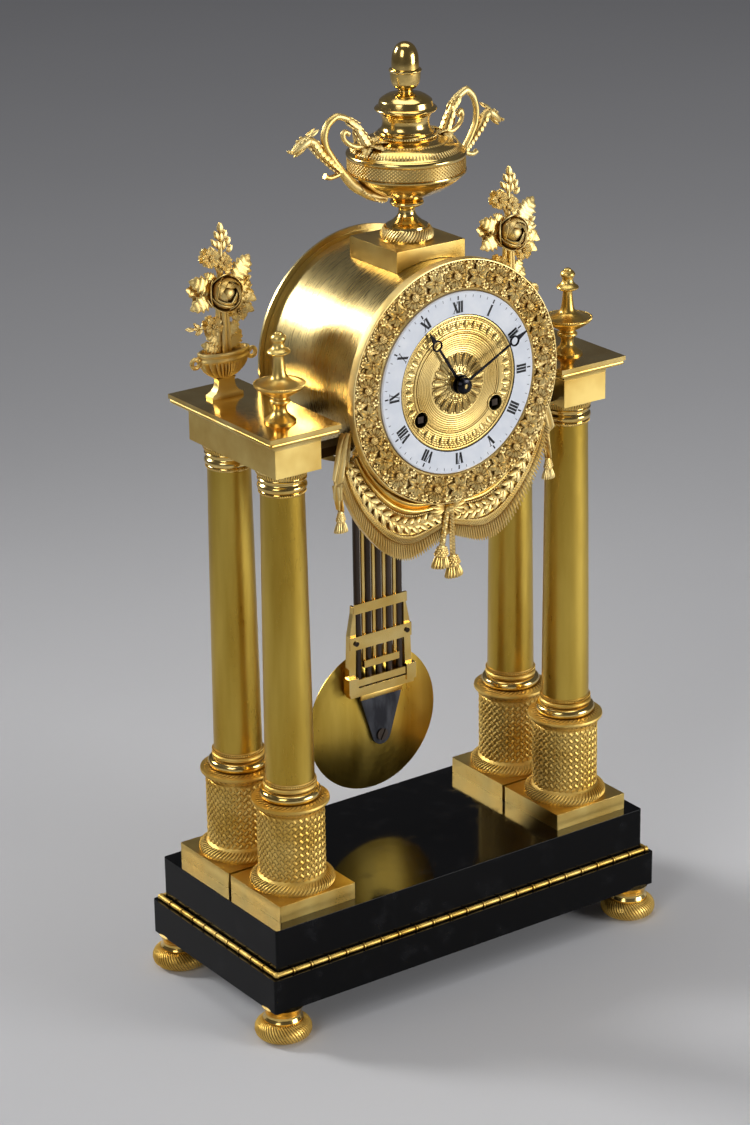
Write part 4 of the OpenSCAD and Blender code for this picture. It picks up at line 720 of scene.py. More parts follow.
print("relief of the dial's centre:", len(relief.data.polygons), "faces")

# %% Winding holes with their lips, and a rivet
HOLES = [Vector((s * 23.3, -14.9)) for s in (-1, 1)]
CLEAR_R = 4.7
edit_faces(relief, lambda centre: any((centre.xy - hole).length < CLEAR_R for hole in HOLES))
bpy.ops.mesh.delete(type="FACE")
bpy.ops.mesh.select_mode(type="VERT")
leave_edit_mode()
lip = turned("lip", [(3.95, -0.6), (3.95, 0.5), (4.2, 0.75), (4.6, 0.75), (4.9, 0.3), (4.9, -0.6)], 40)
lips = copies(lip, [at(hole.x, hole.y, FIELD) for hole in HOLES])
rivet = copies(bead("rivet", 1.0, 0.5, 12, 6), [at(-29.7, 4.2, FIELD)])
finish_piece(joined("dial_relief", [relief, lips, rivet]), "turned_dial_gilding", FACING)

# %% [markdown]
# ## The drapery under the dial
# A swag of gilt drapery hangs from the drum's sides and a bow in the middle. Each half is one sheet
# between the drum's wall and a hanging edge. From the top down it shows smooth rolled folds, a garland of
# laurel between two rows of pearls, a hatched braid and a fringe. The sheet is a grid whose points are
# moved by those zones; leaves, pearls and strands are copied along it, because that is how a chaser would
# divide the work.

# %% The sheet of one half
SWAG_FRONT = DRUM_FRONT - 3.7
SWAG_TOP, SWAG_ARC, HANG_R = 59.7, 64.0, 59.5
HANG = [(0, 23.5), (5.9, 28.5), (14.6, 35.6), (23.7, 35), (36.2, 28.5), (48, 22.6),
        (58.8, 17.7)]  # the hanging edge: angle from straight down, distance outside HANG_R


def below(radius, angle):
    """A point of the dial's plane, at an angle from straight down."""
    a = math.radians(angle)
    return Vector((math.sin(a), -math.cos(a))) * radius


def on_swag(t, s, lift=0.0):
    """A point of the sheet: t from the middle to the corner, s from the drum to the hanging edge."""
    edge = through([below(HANG_R + out, angle) for angle, out in HANG], t)
    spot = below(SWAG_TOP, SWAG_ARC * t).lerp(edge, s)
    return Vector((spot.x, spot.y, SWAG_FRONT + lift))


def swag_relief(t, s):
    """How far the sheet stands forwards in each zone."""
    fade = min(1.0, t / 0.1)
    if s < 0.12:
        return -0.6
    if s < 0.25:
        return 3.1 * math.sin(math.pi * (s - 0.12) / 0.13) ** 0.7 - 0.2
    if s < 0.35:
        return (2.1 * math.sin(math.pi * (s - 0.25) / 0.10) ** 0.7) * fade - 0.1
    if s < 0.67:
        return -0.5 - 0.5 * math.sin(math.pi * (s - 0.35) / 0.32)
    return 0.7 if s < 0.77 else -0.9


sheet = start("swag_sheet", "grid", x_subdivisions=64, y_subdivisions=52, size=1)
sculpt(sheet, lambda p: on_swag(p.x + 0.5, p.y + 0.5, swag_relief(p.x + 0.5, p.y + 0.5)))
face_outwards(sheet)
thickened(sheet, 3.2, -1 if sheet.data.polygons[0].normal.z > 0 else 1)
close_up(sheet, 50)
print("swag sheet faces:", len(sheet.data.polygons))

# %% Fringe, braid and pearls
def along_swag(unit, count, s0, s1, lift, width=1.0, slant=0.0, last=1.0, tilt=0.0):
    """Copies of a unit of length one, each from one line of the sheet to another; tilt lifts its tip."""
    places = []
    for k in range(count):
        t = last * (k + 0.5) / count
        low, high = on_swag(t, s0, lift), on_swag(min(1.0, max(0.0, t + slant)), s1, lift + tilt)
        run = high - low
        side = Vector((run.y, -run.x, 0)).normalized() * width
        places.append(Matrix(((side.x, run.x, 0, low.x), (side.y, run.y, 0, low.y), (0, run.z, 1, low.z),
                              (0, 0, 0, 1))))
    return copies(unit, places)


strand = blade("strand", 1.0, 1.12, 1.3, widest=0.6, blunt=0.3, groove=0.0, segments=6, rings=5)
fringe = along_swag(strand, 58, 0.765, 1.015, -0.6, 0.92, tilt=2.2)
hatch = blade("hatch", 1.0, 0.85, 0.9, widest=0.5, blunt=0.35, groove=0.0, segments=6, rings=4)
braid = along_swag(hatch, 78, 0.69, 0.775, 0.8, 0.9, slant=0.022, last=0.97)
trim = [fringe, braid]
for s, count, size, lift in ((0.372, 62, 0.52, 0.0), (0.672, 84, 0.5, 0.5)):
    row = [Matrix.Translation(on_swag((k + 0.5) / count, s, lift)) for k in range(count)]
    trim.append(copies(bead("swag_pearl", size, 1.0, 6, 4), row))
print("fringe", len(fringe.data.polygons), "braid", len(braid.data.polygons), "faces")

# %% Laurel
LAURELS, GARLAND, BERRY_OUT = 16, 0.52, 0.045
places, berries = [], []
for k in range(LAURELS):
    t = (k + 0.4) / LAURELS
    here, ahead = on_swag(t, GARLAND), on_swag(max(0.0, t - 0.04), GARLAND)
    bearing = math.degrees(math.atan2(ahead.y - here.y, ahead.x - here.x)) - 90
    size = 1.0 if 0.1 < t < 0.8 else 0.8
    places += [at(here.x, here.y, SWAG_FRONT - 0.1 + 0.3 * abs(s), bearing + s * 38, size)
               for s in (-1, 0, 1)]
    berries += [Matrix.Translation(on_swag(t + 0.02, GARLAND + s * BERRY_OUT, 0.9)) for s in (-1, 1)]
trim.append(copies(blade("laurel", 7.0, 3.0, 1.6, widest=0.5, blunt=0.8, groove=0.4, rise=0.8, droop=0.2,
                         segments=8), places))
trim.append(copies(bead("berry", 0.8), berries))
sheet.data.materials.append(FINISH["satin_gilding"])
for part in trim:
    part.data.materials.append(FINISH["chased_gilding"])
half = joined("swag_half", [sheet] + trim)
print("half of the drapery:", len(half.data.polygons), "faces")

# %% Cords and tassels
def rope(name, low, high, radius, twists, strands=2):
    """A twisted cord between two points of the face."""
    low, high = Vector(low), Vector(high)
    run = high - low
    side, forwards = Vector((run.y, -run.x, 0)).normalized(), Vector((0, 0, 1))
    made = []
    for strand in range(strands):
        points = []
        for k in range(twists * 8 + 1):
            turn = 2 * math.pi * (k / 8 + strand / strands)
            around = (side * math.cos(turn) + forwards * math.sin(turn)) * radius * 0.5
            points.append(low + run * (k / (twists * 8)) + around)
        made.append(cord(name, points, [radius * 0.62] * len(points), 1, 1))
    return joined(name, made)


def tassel(name, height, radius):
    """A netted cone over a collar and a flared skirt of strands, hanging from the origin, cast flat."""
    outline = ((0.34, 0), (0.5, 0.1), (0.8, 0.4), (0.82, 0.46), (0.62, 0.5), (0.8, 0.97), (0, 0.98))
    parts = [turned(name, [(0, 0.2)] + [(radius * out, -height * drop) for out, drop in outline], 24)]
    skirt = blade("skirt", height * 0.52, radius * 0.36, radius * 0.4, widest=0.7, blunt=0.35, groove=0,
                  segments=6, rings=5)
    parts.append(ring_of(skirt, 17, at(0, -radius * 0.66, -height * 0.48, pitch=-106)))
    for row, (out, drop) in enumerate(((0.52, 0.12), (0.62, 0.21), (0.72, 0.30), (0.8, 0.39))):
        stud = bead("net_stud", radius * 0.16, 0.8, 6, 4)
        shift = Matrix.Rotation(row * math.pi / 13, 4, "Z")
        parts.append(ring_of(stud, 13, shift @ at(0, -radius * out, -height * drop)))
    made = joined(name, parts)
    made.data.transform(Matrix.Diagonal((1, 1, 0.62, 1)) @ at(0, 0, pitch=-90))
    return made


CORDS = [((-1.6, -70.5), (-4.6, -89.0), -6), ((1.2, -70.5), (2.2, -95.6), 3)]  # top, end, lean of the tassel
middle = []
for high, low, lean in CORDS:
    middle.append(rope("middle_cord", (*low, SWAG_FRONT + 1.4), (*high, SWAG_FRONT + 1.8), 1.5, 7))
    end = tassel("middle_tassel", 12.8, 4.8)
    end.data.transform(at(low[0], low[1] + 0.5, SWAG_FRONT + 1.4, lean))
    middle.append(end)
print("cords:", len(CORDS))

# %% The bow
BOW_Y = -69.0
PLEATS = [(-1.0, 62, 1.0), (-1.0, 76, 1.05), (-1.0, 90, 1.05), (-1.0, 104, 0.95), (1.0, -64, 0.85),
          (1.0, -82, 0.95), (1.0, -100, 1.0), (1.0, -118, 0.95), (1.0, -136, 0.85)]  # place, turn, size
pleat = blade("bow", 10.5, 2.6, 2.6, widest=0.62, blunt=0.5, groove=0.25, rise=1.0)
middle.append(copies(pleat, [at(x, BOW_Y, SWAG_FRONT + 0.6, turn, size) for x, turn, size in PLEATS]))


def wrapped(p):
    """A point of the knot: a flattened ball with the ripples of wrapped cloth."""
    ripple = 1 - 0.12 * math.cos(p.x * 5)
    return Vector((p.x * 0.95, p.y * 0.9 + BOW_Y - 0.6, p.z * 0.8 * ripple + SWAG_FRONT + 1.6))


middle.append(sculpt(start("bow_knot", "uv_sphere", segments=16, ring_count=10, radius=3.0), wrapped))
for part in middle:
    part.data.materials.append(FINISH["chased_gilding"])
print("pleats:", len(PLEATS))

# %% The hanging ends, and the whole drapery
def cloth(name, inner, outer, top, hem, folds, phase, lift):
    """A hanging end of cloth: folds that deepen downwards, edges rolled back, a hem that follows them."""
    def hang(p):
        u, v = p.x + 0.5, 0.5 - p.y
        rim = abs(2 * u - 1)
        left, right = inner[0] + (inner[1] - inner[0]) * v, outer[0] + (outer[1] - outer[0]) * v ** 0.7
        wave = math.cos(2 * math.pi * (folds * u + phase - 0.25 * v))
        forward = lift + 1.3 * wave * (0.45 + 0.55 * v) - 2.4 * rim ** 5 + 1.2 * v
        height = top - (top - hem) * v + 0.9 * v * wave + 1.6 * v * rim ** 3
        return Vector((left + (right - left) * u, height, SWAG_FRONT + forward))

    sheet = sculpt(start(name, "grid", x_subdivisions=32, y_subdivisions=18, size=1), hang)
    return close_up(thickened(sheet, 1.0), 70)


side_tassel = tassel("side_tassel", 11.5, 3.2)
side_tassel.data.transform(at(66.1, -57.0, SWAG_FRONT - 0.5))
drop = joined("corner_drop", [cloth("flap", (56.8, 60.6), (62.6, 70.4), -17.0, -42.0, 2.2, 0.1, -1.2),
                              cloth("under_flap", (60.0, 63.4), (67.0, 69.0), -30.0, -51.5, 1.6, 0.4, -1.6),
                              cloth("tail", (63.0, 64.2), (68.4, 68.0), -44.0, -58.0, 1.2, 0.2, -1.4),
                              side_tassel])
drop.data.materials.append(FINISH["chased_gilding"])
right = joined("swag_right", [half, drop])
left = copies(right, [Matrix.Scale(-1, 4, (1, 0, 0))], keep=True)
face_outwards(left)
drapery = joined("gilt_drapery", [right, left] + middle)
finish_piece(drapery, None, FACING)
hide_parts("drapery_swag")

# %% [markdown]
# ## The woven pedestals
# Each column stands on a drum chased like basketwork: small cushions on a diagonal net, which lean this
# way and that in alternate rows. One cushion is shaped and copied up a strip, and the strip is spun round
# the column. The foot carries slanting ridges, the flange slanting leaves with upright ones under it, and
# the collar a row of beads. The four pedestals are copies of one.

# %% The weave
PEDESTAL_Z, PEDESTAL_H, WEAVE_R = 72.6, 59.4, 17.1
COLUMN_X, COLUMN_Y = 90.6, 24.4
ROUND, ROWS, PUFF = 32, 9, 1.7
PEDESTAL_TOP = PEDESTAL_Z + PEDESTAL_H
weave_low, weave_high = PEDESTAL_Z + 6.6, PEDESTAL_TOP - 17.6
cell_w, cell_h = 2 * math.pi * WEAVE_R / ROUND, (weave_high - weave_low) / ROWS


def cushion_at(row):
    """The place of a row's cushion: on its cell's diagonal, every other row half a cell further round."""
    in_cell = Matrix.Diagonal((cell_w, PUFF, cell_h, 1)) @ at(0, 0, 0, 45 if row % 2 else -45, pitch=90)
    turn = Matrix.Rotation((row % 2) * math.pi / ROUND, 4, "Z")
    return turn @ at(0, -WEAVE_R + 0.05, weave_low + (row + 0.5) * cell_h / 2) @ in_cell @ at(0, -0.44)


cushion = blade("weave", 0.88, 0.58, 1.0, widest=0.5, blunt=0.3, groove=0.0, segments=6, rings=5)
weave = ring_of(copies(cushion, [cushion_at(row) for row in range(ROWS * 2)]), ROUND)
print("weave faces:", len(weave.data.polygons))

# %% Ridges, leaves and beads of a pedestal
RIDGE_TURN = 3.2
ridge_line = [Matrix.Rotation(math.radians(RIDGE_TURN * k), 3, "Z") @ Vector((0, -r, PEDESTAL_Z + z))
              for k, (r, z) in enumerate(((22.0, 0.4), (22.1, 1.8), (21.7, 3.2), (20.2, 4.3), (18.7, 5.2)))]
foot_ridge = cord("foot_ridge", ridge_line, [0.25, 0.4, 0.42, 0.4, 0.25], 2, 1)
flange_leaf = blade("flange_leaf", 4.6, 1.7, 1.3, widest=0.5, groove=0.35, segments=6, rings=5)
under_leaf = blade("under_leaf", 3.6, 1.7, 1.0, widest=0.5, blunt=0.7, groove=0.3, segments=6, rings=5)
relief = joined("pedestal_relief", [
    weave, ring_of(foot_ridge, 64),
    ring_of(flange_leaf, 44, at(0, -18.7, PEDESTAL_TOP - 11.4, -40, pitch=12)),
    pearls_round("collar_bead", 0.48, 70, -13.5, PEDESTAL_TOP - 1.2),
    ring_of(under_leaf, 44, at(0, -17.6, PEDESTAL_TOP - 16.2, pitch=128))])
AT_COLUMNS = corners_at(COLUMN_X, COLUMN_Y)
finish_piece(copies(relief, AT_COLUMNS), "matt_gilding")

# %% [markdown]
# ## Polished rings, capitals and feet
# A burnished ring lies on each pedestal's flange. The capital is turned, with a row of pearls low down
# and a ring of small upright leaves under its flare. The bun feet are milled on the slant like a fine
# rope: one ridge follows the bun's outline and is spun round it. A reeded bar runs round the base on its
# step: long barrels with a ring at each joint, like bamboo. One barrel with its joint is turned on its
# side and copied.

# %% Polished rings and capitals
CAPITAL_Z, CAPITAL_H, SHAFT_TOP = 288.0, 13.1, 11.3
TORUS_Z, TORUS_R, TORUS_MIDDLE = PEDESTAL_TOP - 8.2, 2.75, 13.4
round_side = [math.radians(a) for a in range(-90, 91, 15)]
torus = turned("pedestal_rings", [(TORUS_MIDDLE + TORUS_R * math.cos(a), TORUS_Z + TORUS_R * math.sin(a))
                                  for a in round_side], 64)
finish_piece(copies(torus, AT_COLUMNS), "burnished_gilding")
CAPITAL = [(0.1, 0.0), (0.5, 0.3), (0.6, 1.0), (0.4, 1.7), (0.1, 2.0), (0.7, 2.3), (1.2, 3.0), (1.4, 3.9),
           (1.3, 4.8), (0.9, 5.5), (0.3, 5.9), (0.1, 6.6), (0.3, 7.2), (1.0, 7.4), (1.3, 7.8), (1.3, 8.3),
           (0.9, 8.7), (0.7, 9.2), (0.9, 10.2), (1.5, 11.3), (2.3, 12.2),
           (2.4, CAPITAL_H)]  # outwards from the shaft, height
outline = [(9.0, CAPITAL_Z)] + [(SHAFT_TOP + out, CAPITAL_Z + up) for out, up in CAPITAL]
capitals = copies(turned("capitals", outline, 56), AT_COLUMNS)
finish_piece(capitals, "burnished_gilding")
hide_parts("column_capitals")
capital_leaf = blade("capital_leaf", 4.4, 1.2, 0.9, widest=0.5, groove=0.3, segments=6, rings=5)
capital_relief = joined("capital_relief", [
    ring_of(capital_leaf, 60, at(0, -SHAFT_TOP - 0.6, CAPITAL_Z + 8.7, pitch=114)),
    pearls_round("low_pearl", 0.5, 64, -SHAFT_TOP - 0.5, CAPITAL_Z + 1.0)])
finish_piece(copies(capital_relief, AT_COLUMNS), "matt_gilding")

# %% Rope feet
FOOT_X, FOOT_Y, FOOT_R, FOOT_CORE, STRANDS = 115.6, 50.1, 14.5, 5.2, 54
BUN_R, STRAND_TURN, FLOOR_GAP = 4.95, -26, 0.15
points = []
for k in range(7):
    up = math.radians(-48 + 128 * k / 6)
    out, height = FOOT_R - 5.0 + BUN_R * math.cos(up), FOOT_CORE + BUN_R * math.sin(up)
    around = math.radians(STRAND_TURN * k / 6)
    points.append(Vector((out * math.sin(around), -out * math.cos(around), height)))
strand = cord("foot_ropes", points, [0.4, 0.6, 0.68, 0.7, 0.68, 0.6, 0.4], 1, 1)
foot_ropes = copies(ring_of(strand, STRANDS), corners_at(FOOT_X, FOOT_Y))
sculpt(foot_ropes, lambda p: Vector((p.x, p.y, max(p.z, FLOOR_GAP))))
finish_piece(foot_ropes, "matt_gilding")

# %% Reeded bar round the base
REEL_R, REEL_PITCH, BAR_X, BAR_Y, BAR_Z = 1.6, 11.3, 122.9, 56.2, 39.5
BARREL = [(1.1, 0.0), (1.3, 0.6), (1.36, REEL_PITCH / 2), (1.3, REEL_PITCH - 2.6), (1.1, REEL_PITCH - 2.0),
          (0.75, REEL_PITCH - 1.8), (0.75, REEL_PITCH - 1.5), (REEL_R, REEL_PITCH - 1.3),
          (REEL_R, REEL_PITCH - 0.5), (0.75, REEL_PITCH - 0.3), (0.75, REEL_PITCH), (1.1, REEL_PITCH)]
places = []
for turn, length, out in ((0, 2 * BAR_X, BAR_Y), (90, 2 * BAR_Y, BAR_X), (180, 2 * BAR_X, BAR_Y),
                          (270, 2 * BAR_Y, BAR_X)):
    count = round(length / REEL_PITCH)
    stretch = length / count / REEL_PITCH
    lying = Matrix.Rotation(math.radians(90), 4, "Y") @ Matrix.Diagonal((1, 1, stretch, 1))
    places += [at(0, 0, 0, turn) @ at(-length / 2 + k * REEL_PITCH * stretch, -out, BAR_Z) @ lying
               for k in range(count)]
corner_beads = copies(bead("corner_bead", REEL_R, 1.0, 14, 10), corners_at(BAR_X, BAR_Y, BAR_Z))
reeded_bar = joined("reeded_bar", [copies(turned("reel", BARREL, 16), places), corner_beads])
finish_piece(reeded_bar, "matt_gilding", angle=35)
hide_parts("base_moulding")

# %% [markdown]
# ## The urn's bands and finial rims
# The urn's bowl and lid are turned and burnished. They follow the CAD solids, but the bowl is a little
# flatter under a taller collar and the acorn's cup is rounder, so they are turned again from smooth
# strokes, one for each moulding. A band of matted ground goes round the belly: rows of tiny punched
# grains, set in between each other. Short ridges lie on the shoulder over the torus, with a narrow band
# of leaf tips and a row of pearls higher up, and the foot's lower band is milled on the slant. All of
# them are rings of one unit. The two front finials are turned with finer steps than the CAD solids, so
# that the polish runs smoothly, and pearls mark their rims. A half-round bead lies under each cornice's
# flat edge.

# %% Bowl and lid
URN_Z, URN_FRONT, URN_R, URN_FOOT, BOWL_H = 399.9, 7.7, 30.3, 19.7, 42.6
BOWL_Z = URN_Z + URN_FOOT
ON_URN_AXIS = METRES @ at(0, -URN_FRONT)
BOWL = (
    ((7.0, 0.0), (8.6, 1.2), (13.0, 3.2), (19.6, 6.4), (25.2, 10.0), (28.8, 13.2), (29.9, 14.5)),
    ((30.3, 14.7), (30.4, 15.3), (30.3, 15.9)),
    ((29.6, 16.2), (29.6, 19.3), (29.6, 22.4)),
    ((29.9, 22.7), (30.5, 24.0), (30.0, 25.2), (29.0, 25.8)),
    ((28.5, 26.2), (25.5, 28.9), (20.6, 31.3), (16.4, 32.6)),
    ((15.2, 32.8), (15.7, 33.7), (15.0, 34.6)),
    ((14.0, 34.9), (14.2, 35.5), (13.6, 36.0)),
    ((13.2, 36.2), (12.3, 37.6), (11.9, 39.4), (11.9, 41.2), (12.3, 42.6)),
)
LID = (
    ((12.4, 0.0), (13.0, 1.6), (14.2, 2.8)),
    ((15.0, 3.2), (15.8, 4.2), (15.0, 5.2)),
    ((13.9, 5.6), (13.5, 7.6), (12.8, 9.0), (9.0, 11.4), (4.4, 12.3)),
    ((3.6, 12.9), (3.7, 13.6), (4.4, 14.1)),
    ((4.8, 14.3), (6.3, 15.6), (7.3, 18.0), (7.7, 21.0), (7.8, 22.6)),
    ((8.1, 22.9), (8.3, 23.6), (7.9, 24.2)),
    ((6.9, 24.4), (6.9, 28.0), (6.3, 32.2), (4.7, 35.6), (2.4, 37.3), (0.4, 37.8)),
)
for name, strokes, base, node in (("turned_bowl", BOWL, BOWL_Z, "urn_body"),
                                  ("turned_lid", LID, BOWL_Z + BOWL_H, "urn_lid")):
    outline = moulded(strokes, base, [(0, 0)])
    piece = turned(name, outline + [(0, outline[-1][1])])
    finish_piece(piece, "burnished_gilding", ON_URN_AXIS, angle=30)
    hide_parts(node)

# %% Urn relief
GRAINS, GRAIN_ROWS, GRAIN_LOW, GRAIN_BAND = 90, 7, 16.8, 5.1
relief = []
for row in range(GRAIN_ROWS):
    turn = Matrix.Rotation((row % 2) * math.pi / GRAINS, 4, "Z")
    height = BOWL_Z + GRAIN_LOW + row * GRAIN_BAND / (GRAIN_ROWS - 1)
    relief.append(ring_of(bead("grain", 0.62, 0.8, 5, 4), GRAINS, turn @ at(0, -URN_R + 0.75, height)))
tongue = blade("tongue", 3.6, 1.15, 0.8, widest=0.5, blunt=0.4, groove=0.0, segments=6, rings=5)
relief.append(ring_of(tongue, 100, at(0, -28.4, BOWL_Z + 26.4, pitch=41)))
tip = blade("shoulder_tip", 3.0, 1.3, 0.6, widest=0.4, blunt=0.8, groove=0.3, segments=6, rings=5)
relief.append(ring_of(tip, 84, at(0, -22.2, BOWL_Z + 30.6, pitch=19)))
foot_line = [(x, -r, URN_Z + z) for x, r, z in
             ((-1.6, 13.0, 0.6), (-0.5, 13.0, 2.4), (0.7, 12.4, 4.2), (1.7, 11.5, 5.8))]
relief.append(ring_of(cord("ridge", foot_line, [0.45, 0.62, 0.6, 0.4], 2, 1), 48))
relief.append(pearls_round("shoulder_pearl", 0.42, 76, -15.6, BOWL_Z + 33.7))
finish_piece(joined("urn_relief", relief), "chased_gilding", ON_URN_AXIS)

# %% Front finials
CORNICE_TOP, SAUCER_R = 325.0, 13.0
FINIAL_FOOT = ((0.0, 0.0), (8.0, 0.0), (8.0, 0.9), (7.6, 1.2))
FINIAL = (
    ((7.4, 1.4), (5.6, 2.8), (3.7, 5.0), (3.3, 7.3), (3.6, 9.0)),
    ((3.9, 9.2), (5.1, 10.0), (5.3, 10.8), (4.9, 11.6), (3.9, 12.2)),
    ((3.8, 12.6), (7.6, 14.8), (11.6, 17.4), (12.4, 18.2)),
    ((12.7, 18.4), (13.0, 19.1), (12.7, 19.8), (12.1, 20.0)),
    ((11.8, 19.9), (8.6, 20.5), (5.0, 22.3), (3.6, 24.6), (2.9, 28.8), (2.5, 33.3)),
    ((2.7, 34.4), (4.6, 34.8), (5.8, 35.7), (5.6, 36.6), (4.2, 37.6), (3.3, 38.6)),
    ((2.9, 39.8), (2.9, 40.9), (3.4, 41.6), (3.9, 42.7), (3.7, 43.8), (2.8, 44.9)),
    ((1.9, 45.1), (1.7, 45.9), (0.9, 46.3), (0.0, 46.3)),
)
finial = turned("turned_finials", moulded(FINIAL, CORNICE_TOP, FINIAL_FOOT), 48)
pearls = pearls_round("finial_pearl", 0.55, 68, -SAUCER_R + 0.35, CORNICE_TOP + 19.7)
finials = copies(joined("turned_finials", [finial, pearls]), [at(s * COLUMN_X, -COLUMN_Y) for s in (-1, 1)])
finish_piece(finials, "satin_gilding", angle=30)
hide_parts("front_finials")

# %% Beads under the cornices
CORNICE_X, CORNICE_Y, BEAD_Z, BEAD_R = 19.55, 45.2, CORNICE_TOP - 3.6, 1.35
corners = [Vector((sx * CORNICE_X, sy * CORNICE_Y, BEAD_Z))
           for sx, sy in ((-1, -1), (1, -1), (1, 1), (-1, 1))]
runs = [cord("run", [a, b], [BEAD_R, BEAD_R], 1, 4) for a, b in zip(corners, corners[1:] + corners[:1])]
ends = copies(bead("corner", BEAD_R, 1.0, 14, 10), [Matrix.Translation(corner) for corner in corners])
beads = copies(joined("cornice_beads", runs + [ends]), [at(s * COLUMN_X, 0) for s in (-1, 1)])
finish_piece(beads, "satin_gilding")

# %% [markdown]
# ## The urn's handles
# Each handle is a cast stem that climbs from under the bowl, loops over and comes down on the shoulder. A
# neck with a fanciful beast's head branches outwards, and acanthus leaves hide the joints. The stem, the
# neck and the curls are cords with a changing radius; the head, ears and leaves are blades. The inner leg
# of the loop wears scales like a palm's bark, cast in four rows, and the neck wears them as a mane.

# %% Places in a handle
def in_plane(x, z, bearing, size=1.0, depth=0.0, roll=0.0):
    """A place in an upright plane: bearing 0 is outwards, 90 up; roll turns the blade about its length."""
    b = math.radians(bearing)
    turn = Matrix(((0, math.cos(b), -math.sin(b), x), (-1, 0, 0, depth), (0, math.sin(b), math.cos(b), z),
                   (0, 0, 0, 1)))
    return turn @ Matrix.Rotation(math.radians(roll), 4, "Y") @ Matrix.Scale(size, 4)


def laid(x, y, z, heading, pitch, size=1.0):
    """A blade laid on its back: heading 0 points to the rear and 90 to the axis, pitch lifts its tip."""
    return at(x, y, z, heading) @ at(0, 0, pitch=pitch, size=size)


def limb(name, knots, sides=3, resolution=4):
    """A cord in the plane through knots of x, height and radius."""
    return cord(name, [(x, 0, z) for x, z, r in knots], [r for x, z, r in knots], resolution, sides)


def scales(line, count, size):
    """Blades in four rows down a line of x, z and radius, each overlapping the next."""
    unit = blade("scale", 3.4, 2.6, 1.0, widest=0.55, blunt=0.65, rise=0.3, droop=-0.5, segments=6, rings=5)
    places = []
    for k in range(count):
        place = (len(line) - 1) * k / (count - 0.999)
        a, b = Vector(line[int(place)]), Vector(line[int(place) + 1])
        spot = a.lerp(b, place % 1)
        out = spot.z * 0.96
        bearing = math.degrees(math.atan2(b.y - a.y, b.x - a.x))
        across = Vector((a.y - b.y, b.x - a.x, 0)).normalized() * out
        for depth, side, roll in ((-out, 0, 90), (out, 0, -90), (0, 1, 0), (0, -1, 180)):
            foot = spot + across * side
            places.append(in_plane(foot.x, foot.y, bearing, size, depth, roll))
    return copies(unit, places)


print("tools for the handles ready")

# %% Limbs and head
STEM = [(13, 20.5, 2.2), (19, 22.2, 2.6), (26, 25.8, 2.6), (31.5, 30.5, 2.4), (35.5, 36, 2.2),
        (39.5, 42, 2.0), (43.6, 48.2, 1.8), (46.6, 54.6, 1.75), (46.4, 61.4, 1.75), (42.6, 66.4, 1.75),
        (36.8, 68, 1.8), (31, 66, 2.0), (27.2, 61, 2.4), (24.6, 56.5, 2.7),
        (22, 53.2, 2.8)]  # x, height, radius, as for all limbs
NECK = [(38.6, 40.4, 1.4), (44.5, 45.8, 2.0), (49.5, 51, 2.2), (53, 56, 2.4), (56.4, 57.8, 2.6)]
SIDE_CURL = [(37.9, 39, 1.3), (41.5, 37.8, 1.3), (44.7, 37.4, 1.2), (47.2, 38.6, 1.5)]
INNER_CURL = [(25.3, 55.4, 1.6), (32.9, 55, 1.5), (36.7, 58, 1.3), (35.6, 61, 1.2), (33.6, 60.4, 1.5)]
parts = [limb("stem", STEM, 4, 6), limb("neck", NECK), limb("side_curl", SIDE_CURL),
         limb("inner_curl", INNER_CURL)]
skull = blade("skull", 12.8, 6.2, 5.4, widest=0.32, blunt=0.5, groove=0.06, droop=0.6, segments=14, rings=12)
parts.append(copies(skull, [in_plane(54.2, 58.9, -29)]))
jaw = blade("jaw", 8.8, 3.4, 2.8, widest=0.4, groove=0.2)
parts.append(copies(jaw, [in_plane(56.6, 55.8, -38)]))
ear = blade("ear", 6.2, 2.2, 1.3, widest=0.45, blunt=0.8, groove=0.7, segments=8, rings=7)
parts.append(copies(ear, [in_plane(56.0, 59.8, 148, 1.0, s * 1.7, s * 50) for s in (-1, 1)]))
KNOBS = ((58.4, 2.0, 59.0), (65.6, 0.9, 53.2), (60.6, 1.6, 57.6), (57.0, 1.8, 56.6))  # brow, nose, cheek
parts.append(copies(bead("knob", 0.9, 1.0, 8, 6), [at(x, s * y, z) for s in (-1, 1) for x, y, z in KNOBS]))
print("limbs and parts of the head:", len(parts))

# %% Acanthus and scales
BARK = [(35, 67.6, 1.8), (31, 66, 2.0), (27.2, 61, 2.4), (24.6, 56.5, 2.7), (23, 54.4, 2.8)]
MANE = [(53.6, 56.4, 2.4), (49.5, 51, 2.2), (44.5, 45.8, 2.0), (40.6, 42, 1.7)]
ROSETTE = ((14, -6, 0.85), (50, 12, 0.85), (90, 26, 0.75), (130, 12, 0.85), (166, -6, 0.85), (-50, -26, 0.8),
           (-130, -26, 0.8))  # heading, pitch, size
ON_STEM = ((15.0, 20.2, 14, 0.95, 0, 180), (14.0, 20.6, 16, 0.8, 2.0, 140), (14.0, 20.6, 16, 0.8, -2.0, 220),
           (23.5, 24.0, 36, 0.85, 0, 180), (22.0, 24.4, 34, 0.7, 2.2, 130), (22.0, 24.4, 34, 0.7, -2.2, 230),
           (31.0, 29.8, 48, 0.7, 0, 180), (30.6, 57.0, 80, 0.42, 0, 0))  # as in_plane takes them
acanthus = blade("acanthus", 11.5, 6.8, 1.8, widest=0.42, blunt=0.7, groove=0.5, rise=1.0, droop=1.4, teeth=5,
                 segments=12, rings=31)
places = [laid(22.8, 1.5 * math.cos(math.radians(heading)), 55.6, heading, pitch, size)
          for heading, pitch, size in ROSETTE]
parts.append(copies(acanthus, places + [in_plane(*spot) for spot in ON_STEM]))
handle = joined("urn_handle", parts + [scales(BARK, 10, 1.15), scales(MANE, 8, 0.95)])
print("handle faces:", len(handle.data.polygons))

